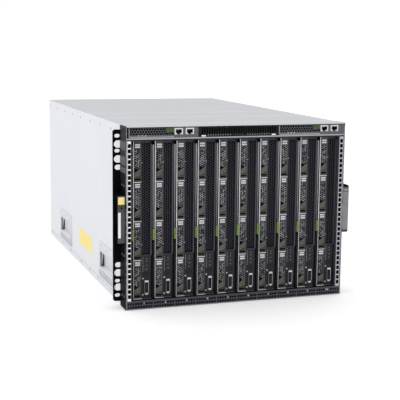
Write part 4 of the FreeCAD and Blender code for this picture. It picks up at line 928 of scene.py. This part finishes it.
def vent(form):
    """The blade's vent: a honeycomb in a thin frame over a dark plate."""
    half_wide, half_bar, half_end, proud = 8.35, 0.4, 0.5, 0.5
    comb = vent_comb.make(Columns=43, Rows=4, Pitch=4.95, Wall=1.0, Thickness=1.0, Lean=QUARTER)
    form.add(comb, (0.0, 2.6, (VENT_LOW + VENT_TOP) / 2 + 0.15))
    form.block((-8.25, 9.45), (6.0, 6.6), (VENT_LOW - 1.6, VENT_TOP + 2.4), hole_black, 0.0)
    for side in (-half_wide, half_wide):
        form.raised(about(side, half_bar), proud, (VENT_LOW, VENT_TOP + half_bar), vent_dark, 0.2)
    for end in (VENT_LOW, VENT_TOP):
        form.raised(about(0.0, half_wide - 0.05), proud, about(end, half_end), vent_dark, 0.2)


def lamp_panel(form):
    """The black panel below the vent: a row of dashes, four lamps and a small cover under it."""
    half_wide, panel, cover = 5.5, (71.0, 101.0), (61.6, 70.2)
    dash_first, dash_step, dash_count = 73.2, 3.7, 8
    form.raised(about(0.0, half_wide), 0.6, panel, panel_black, 0.5)
    form.raised((-half_wide, 6.7), 0.3, cover, cover_black, 0.2)
    dashes = [(-6.5, -0.5, dash_first + dash_step * k) for k in range(dash_count)]
    form.add(dash_bars.make(dashes, Wide=1.4, Deep=1.2, Tall=2.3))
    form.heads(clear_lamps, [(0.7, -0.6, level) for level in (76.5, 84.0, 92.0, 97.4)], 0.9, 0.8)


def connector(form):
    """The upright connector: a white top and a bright right wall that are painted highlights, a dark left
    wall that is painted shade, a tapered foot, a black inside and its tongue.
    """
    bottom, top, foot, back = 30.4, 51.6, 26.6, -0.1
    shoulder = bottom - 0.6
    hood = [(-3.9, bottom), (3.9, bottom), (3.9, shoulder), (1.2, foot), (-1.2, foot), (-3.9, shoulder)]
    # Painted highlight: the white block on top.
    form.block((-3.7, 3.9), (-4.7, back), (top, top + 3.4), light_bar, 0.6)
    # Painted highlight on the bright right wall, painted shade on the dark left wall.
    form.block((3.4, 4.0), (-4.6, back), (bottom, top), nickel, 0.2)
    form.block((-4.0, -3.5), (-4.4, back), (bottom, top), module_dark, 0.2)
    form.plate(hood, (-4.5, back), nickel, 0.3)
    form.block((-2.9, 2.9), (-4.1, back), (bottom + 0.6, top - 0.8), hole_black, 0.2)
    form.block((-0.9, 0.9), (-4.35, -3.9), (bottom + 2.0, top - 2.2), panel_black, 0.2)
    form.heads(screws, [(-6.6, 0.0, level) for level in (26.4, 58.4)], 1.7, 1.2)


def blade_front(form):
    """What is on a blade's front."""
    cage_edges(form)
    for part in (vent, lamp_panel, connector):
        part(form.beside(VENT_MIDDLE))
    form.heads(steel_studs, [(21.3, 0.0, level) for level in (125.0, 283.0)], 0.9, 0.6)


def drive_front(form):
    """One drive carrier's face: two white bars, a fine mesh, a black triangle that is a painted shadow in
    the corner of the field, and the slanted green release.
    """
    for bar_low in (DRIVE_TALL - 5.2, DRIVE_TALL - 9.5):
        form.raised((8.0, 18.0), 0.7, (bar_low, bar_low + 3.0), light_bar, 0.3)
    comb = drive_comb.make(Columns=9, Rows=3, Pitch=4.4, Wall=1.1, Thickness=0.6, Lean=QUARTER)
    form.add(comb, ((FIELD_LEFT + FIELD_RIGHT) / 2, 0.55, DRIVE_TALL - 32.6))
    # Painted shadow: a black triangle in the field's bottom left corner, where the recess lies in shade.
    form.plate([(7.2, 17.4), (7.2, 26.0), (15.4, 22.9)], (-0.1, 0.8), hole_black)
    form.plate([(6.8, 10.2), (19.0, 17.8), (19.0, 24.9), (6.8, 16.8)], (-0.8, 0.0), ramp_grey, 0.25)
    form.plate([(6.8, 7.4), (19.0, 7.4), (19.0, 17.6), (6.8, 10.0)], (-0.5, 0.0), ramp_green, 0.25)
    form.plate([(7.4, 9.2), (18.6, 14.6), (18.6, 15.6), (7.4, 10.2)], (-1.0, -0.1), line_green, 0.15)
    form.raised((FIELD_LEFT, FIELD_RIGHT), 0.5, (2.8, 6.2), hole_black, 0.3)


def drive_stack(form):
    """The faces of the four drive carriers that belong to a blade."""
    for level in range(DRIVE_COUNT):
        drive_front(form.beside(0.0, DRIVE_PITCH * level))


# Trim of the module row, the sill and the ears

def module_comb_field(form):
    """The left part of a module's face: a honeycomb over dark plates, a pale end and a pale ledge below."""
    field_left, field_right, field_end = 2.6, 72.6, 90.0
    field_low, field_mid, field_top = 335.0, 340.2, 349.1
    ledge, ledge_low, ledge_top, lip_top = (2.0, 88.8), 330.7, 332.8, 335.8
    form.raised((field_left, field_right), 0.3, (field_low, field_top), hole_black, 0.1)
    form.raised((field_right, field_end), 0.3, (field_low, field_mid), hole_black, 0.1)
    for columns, rows, across, level in ((13, 3, 37.6, 342.1), (3, 1, 81.6, 337.2)):
        comb = module_comb.make(Columns=columns, Rows=rows, Pitch=5.3, Wall=0.8, Thickness=0.6)
        form.add(comb, (across, -0.7, level))
    form.raised((0.4, 1.8), 0.8, (331.0, 349.0), ledge_grey, 0.3)
    form.raised(ledge, 1.4, (ledge_low, ledge_top), ledge_grey, 0.4)
    form.raised(ledge, 1.0, (ledge_top, lip_top), module_dark, 0.3)
    form.heads(steel_studs, [(across, -1.0, field_low) for across in (19.5, 26.0, 32.5)], 1.3, 0.8)


def network_port(form):
    """Eight contacts and two keyed corners in a network socket, and two lamps below it."""
    pin_first, pin_step, pin_wide, pin_count = 2.3, 1.05, 0.5, 8
    form.heads(clear_lamps, [(across, 0.0, 332.2) for across in (2.0, 10.0)], 0.8, 0.7)
    for pin in range(pin_count):
        at = pin_first + pin * pin_step
        form.block((at, at + pin_wide), (1.0, 5.0), (344.6, 345.0), nickel, 0.0)
    for key in (0.2, 9.2):
        form.block((key, key + 2.6), (-0.9, 4.0), (336.5, 338.8), light_bar, 0.2)


def module_front(form):
    """A module's face: comb, ledge, ports and a screw at the end."""
    module_comb_field(form)
    for port in PORTS:
        network_port(form.beside(port))
    form.heads(grey_screws, [(134.2, 0.0, 340.0)], 1.7, 1.2)


def sill_dress(form):
    """Uprights in the bottom grille's windows, and a numbered tag below each blade."""
    window_left, window_step, upright_count = 5.0, 5.2, 7
    tag_middle, tag_low, tag_top, figure_tall = 23.4, 8.4, 15.6, 5.0
    starts = [BLADE_PITCH * slot for slot in range(BLADE_COUNT)]
    places = [start + window_left + window_step * bar for start in starts for bar in range(upright_count)]
    spots = [(across, 0.6, level) for across in places for level in (5.0, 11.6)]
    form.add(sill_bars.make(spots, Wide=1.7, Deep=1.1, Tall=5.0))
    for number, start in enumerate(starts, start=1):
        middle = start + tag_middle
        half = 2.6 if number < 10 else 4.4
        form.block(about(middle, half), (0.15, 0.7), (tag_low, tag_top), panel_black)
        form.figure(str(number), figure_tall, (middle, 0.16, (tag_low + tag_top) / 2), figure_white)


def grille_dress(form):
    """Teal dots, end tags and a dark middle tag on the centre grille."""
    spots = [(side * across, 0.0, 333.6) for side in (-1, 1) for across in range(18, 66, 5)]
    form.heads(teal_dots, spots, 1.1, 0.6)
    for middle in (-72.4, 72.4):
        form.raised(about(middle, 4.4), 0.5, (331.0, 333.6), pale_label, 0.2)
    form.raised((-11.0, 11.0), 0.4, (331.2, 335.0), panel_black, 0.3)


def ear_dress(form):
    """Blank labels on the handles, screws in the ear legs."""
    label_inner, label_outer, narrow_inner, leg_wall = 228.0, 240.4, 235.4, 226.4
    labels = (
        ((-label_outer, -label_inner), (205.4, 219.4), yellow_label),
        ((-label_outer, -narrow_inner), (141.0, 190.0), pale_label),
        ((label_inner, label_outer), (134.0, 211.6), grey_label),
        ((label_inner, label_outer), (213.0, 219.0), grey_label))
    for sides, levels, material in labels:
        form.block(sides, (-0.25, 0.1), levels, material, 0.08)
    for side, way in SIDE_WAYS.items():
        spots = [(side * leg_wall, along, level) for level in (25.0, 105.0, 240.0) for along in (8.0, 24.0)]
        form.heads(grey_screws, spots, 2.2, 1.2, way)


# Trim of the case's sides

def grip_dress(form):
    """Round-cornered rims about the finger cups, a white bar on each bottom lip that is a painted highlight,
    a grey line under it that is a painted shadow, and rivets in the plates.
    """
    for side, way in SIDE_WAYS.items():
        rim_depths, lip_depths, groove_depths = [
            [side * (GRIP_WALL + out) for out in outs] for outs in ((-0.1, 0.5), (-0.1, 1.3), (0.3, 0.6))]
        for front in (CUP_FRONT, CUP_FRONT + CUP_STEP):
            rear = front + CUP_LONG
            rim_outer = rounded((front - 3, rear + 3), (33.6, 76.0), 11.0)
            rim_inner = rounded((front + 1.6, rear - 1.6), (37.4, 71.6), 8.0)
            lip_ends = (front + 6, rear - 6)
            form.ring(rim_outer, rim_inner, rim_depths, rim_silver)
            # Painted highlight along the cup's bottom lip, and a painted shadow in grey under it.
            form.plate(rounded(lip_ends, (35.9, 37.9), 0.9, 2), lip_depths, lip_highlight, sideways=True)
            form.plate(rounded(lip_ends, (34.3, 35.8), 0.7, 2), groove_depths, groove_shadow, sideways=True)
            places = (front + 6, (front + rear) / 2, rear - 6)
            spots = [(side * GRIP_WALL, along, level) for along in places for level in (26.0, 84.0)]
            form.heads(rivets, spots, 2.4, 0.6, way)


def side_dress(form):
    """Rivets and the bottom seam along the sides, and the blank yellow label, measured from the bezel."""
    wall = SIDE_WALL - 0.05
    rows = {338.0: (128, 222, 315, 416, 504, 600, 696, 790), 8.0: (60, 251, 331, 418, 540, 640, 780)}
    seam = rectangle((6.0, REAR_FACE - BEZEL_FACE - 2.0), (10.6, 11.7))
    label = rectangle((306.0, 444.0), (46.0, 82.0))
    for side, way in SIDE_WAYS.items():
        spots = [(side * wall, along, level) for level, places in rows.items() for along in places]
        form.heads(rivets, spots, 3.2, 0.7, way)
        form.plate(seam, (side * wall, side * (wall + 0.2)), rivet_grey, sideways=True)
    form.plate(label, (-wall - 0.25, -wall), yellow_label, sideways=True)


# Trim of the rear, measured from the rear face

def fan_guard(form):
    """A fan tray's rear: wire rings, crossed stays, corner screws and a lamp."""
    level, corner, stay_radius, stay_reach = 273.4, 53.7, 1.3, 76.0
    form.add(fan_wires.make(Rings=7, Inner=12.0, Step=9.6, Wire=0.9), (0.0, 1.3, level))
    stay = [(stay_radius, -stay_reach), (stay_radius, stay_reach)]
    for angle in (QUARTER / 2, 3 * QUARTER / 2):
        form.turned(stay, (0.0, 3.2, level), (math.cos(angle), 0.0, math.sin(angle)), screw_zinc, 8)
    corners = [(across, 0.0, up) for across in (-corner, corner) for up in about(level, corner)]
    form.heads(screws, corners, 3.4, 4.2, REAR_WAY)
    form.heads(screws, [(-97.75, 0.0, up) for up in (206.0, 340.8)], 3.0, 2.0, REAR_WAY)
    form.heads(green_lamps, [(96.25, 0.0, 334.0)], 1.8, 1.2, REAR_WAY)


def supply_rear(form):
    """A supply's rear: comb over a dark plate, inlet pins and rims, two lamps and a latch tab."""
    vent_middle, vent_level = 57.0, 48.0
    form.block(about(vent_middle, 19.0), (0.0, 0.3), about(vent_level, 36.0), hole_black, 0.1)
    comb = supply_comb.make(Columns=7, Rows=15, Pitch=5.2, Wall=1.4, Thickness=1.0)
    form.add(comb, (vent_middle, 0.8, vent_level))
    for pin in (15.6, 22.0, 28.4):
        form.block(about(pin, 0.9), (-15.9, -3.0), (20.0, 26.0), nickel, 0.3)
    for bottom in (13.4, 31.2):
        form.block((9.0, 35.0), (0.0, 0.9), (bottom, bottom + 1.4), panel_black, 0.2)
    for lamps, across in ((green_lamps, 14.0), (amber_lamps, 22.0)):
        form.heads(lamps, [(across, 0.0, 76.0)], 1.8, 1.2, REAR_WAY)
    form.block((10.0, 30.0), (0.0, 1.6), (44.0, 62.0), latch_green, 0.6)


def rear_dress(form):
    """Stepped thumb screws on the slot blanks."""
    knob = [(3.2, 0), (3.2, 1.0), (4.6, 1.6), (4.6, 6.4), (3.8, 7.2)]
    first_level, row_step, row_count = 15.5, 35.0, 3
    for row in range(row_count):
        for across in (-14.0, -202.0, 14.0, 202.0):
            form.turned(knob, (across, 0.0, first_level + row_step * row), (0, 1, 0), screw_zinc, 14)


def mount(dress, name, body, left=0.0, face=0.0, bottom=0.0):
    """Makes what a function adds to a form, from a start point, a named piece that rides on a body."""
    form = Form((left, face, bottom))
    dress(form)
    piece = placed(name, form.mesh(name))
    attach(piece, body)


blade_lefts = {blade: BLADE_LEFT + BLADE_PITCH * n for n, blade in enumerate(numbered("blade", BLADE_COUNT))}
for blade, left in blade_lefts.items():
    mount(blade_front, f"{blade}_front", blade, left, BLADE_FACE)
for blade, left in blade_lefts.items():
    if blade != "blade_01":
        mount(drive_stack, f"{blade}_drives", blade, left, BLADE_FACE, DRIVE_LOW)
for drive in numbered("drive", DRIVE_COUNT):
    mount(drive_front, f"{drive}_front", drive, BLADE_LEFT, BLADE_FACE, low(drive, "z"))
for side, left in (("left", MODULE_LEFT), ("right", MODULE_LEFT + MODULE_STEP)):
    mount(module_front, f"module_{side}_front", f"management_module_{side}", left, MODULE_FACE)
mount(sill_dress, "bottom_grille_bars", "chassis", BLADE_LEFT, BEZEL_FACE)
mount(grille_dress, "centre_grille_marks", "chassis", 0.0, MODULE_FACE)
mount(ear_dress, "ear_labels_and_screws", "chassis", 0.0, HANDLE_FACE)
mount(side_dress, "case_rivets_and_label", "chassis", 0.0, BEZEL_FACE)
mount(grip_dress, "grip_rims", "chassis")
for side, middle in (("left", -FAN_STEP / 2), ("right", FAN_STEP / 2)):
    mount(fan_guard, f"fan_guard_{side}", f"fan_tray_{side}", middle, REAR_FACE)
for n in range(SUPPLY_COUNT):
    left = SUPPLY_LEFT + SUPPLY_STEP * n
    mount(supply_rear, f"supply_{n + 1}_rear", f"power_supply_{n + 1}", left, REAR_FACE)
mount(rear_dress, "blank_thumb_screws", "chassis", 0.0, REAR_FACE, low("io_slot_blanks", "z"))


# Floor, lights, camera and sky, in metres

def floor():
    """A wide, plain, pale floor with a faint cloudy tone, lit a little from within."""
    half_wide, drop, glow = 14.0, 0.0006, 0.2
    paint = Finish("pale_floor", specular=0.1)
    paint.shade({"Emission Color": (1.0, 1.0, 1.0, 1.0), "Emission Strength": glow})
    cloud = paint.grain(400, detail=2)
    material = paint.close(paint.blend(cloud, (251, 251, 251), (254, 254, 254)), 0.8 + 0.1 * cloud)
    sheet = bmesh.new()
    bmesh.ops.create_grid(sheet, x_segments=8, y_segments=8, size=half_wide)
    mesh = bpy.data.meshes.new("floor")
    sheet.to_mesh(mesh)
    sheet.free()
    mesh.transform(Matrix.Translation((0, 0, -drop)))
    mesh.materials.append(material)
    placed("floor", mesh)


def soft_light(name, spot, aim, size, power):
    """A square studio light at a spot, turned to what it aims at."""
    light = bpy.data.lights.new(name, "AREA")
    light.energy = power
    light.size = size
    holder = placed(name, light)
    holder.location = spot
    holder.rotation_mode = "QUATERNION"
    holder.rotation_quaternion = (Vector(aim) - Vector(spot)).to_track_quat("-Z", "Y")


def camera():
    """The photograph's view: azimuth, elevation and a small roll about an aim, and the lens."""
    azimuth, elevation, roll = (math.radians(angle) for angle in (-19.305, 9.19, 0.686))
    aim, distance = (-0.0028, -0.27, 0.1818), 2.1288
    lens = bpy.data.cameras.new("camera")
    lens.lens = 91.46
    lens.sensor_width = 36.0
    lens.shift_x = -0.0293
    lens.clip_end = 100.0
    view = Matrix.Translation(aim)
    for angle, axis in ((azimuth, "Z"), (QUARTER - elevation, "X"), (roll, "Z")):
        view = view @ Matrix.Rotation(angle, 4, axis)
    eye = placed("camera", lens)
    eye.matrix_world = view @ Matrix.Translation((0, 0, distance))
    bpy.context.scene.camera = eye


def sky():
    """A white studio sky, a little dimmer straight above than near the floor."""
    level_from, level_to, glow_from, glow_to = 0.1, 1.0, 1.04, 0.94
    world = bpy.data.worlds.new("studio")
    world.use_nodes = True
    air = Tree(world.node_tree)
    way = air.node("ShaderNodeSeparateXYZ", {0: air.node("ShaderNodeTexCoord").outputs["Generated"]})
    fade = {0: way.outputs[2], 1: level_from, 2: level_to, 3: glow_from, 4: glow_to}
    glow = air.graph.nodes["Background"]
    air.feed(glow.inputs[0], (1.0, 1.0, 1.0, 1.0))
    air.feed(glow.inputs[1], air.node("ShaderNodeMapRange", fade))
    bpy.context.scene.world = world


floor()
soft_light("key_left", (-3.2, -1.0, 1.0), (0, -0.1, 0.2), 2.4, 9)
soft_light("front_fill", (0.8, -3.4, 1.5), (0, -0.3, 0.2), 2.4, 4)
camera()
sky()
bpy.context.scene.view_settings.view_transform = "Standard"
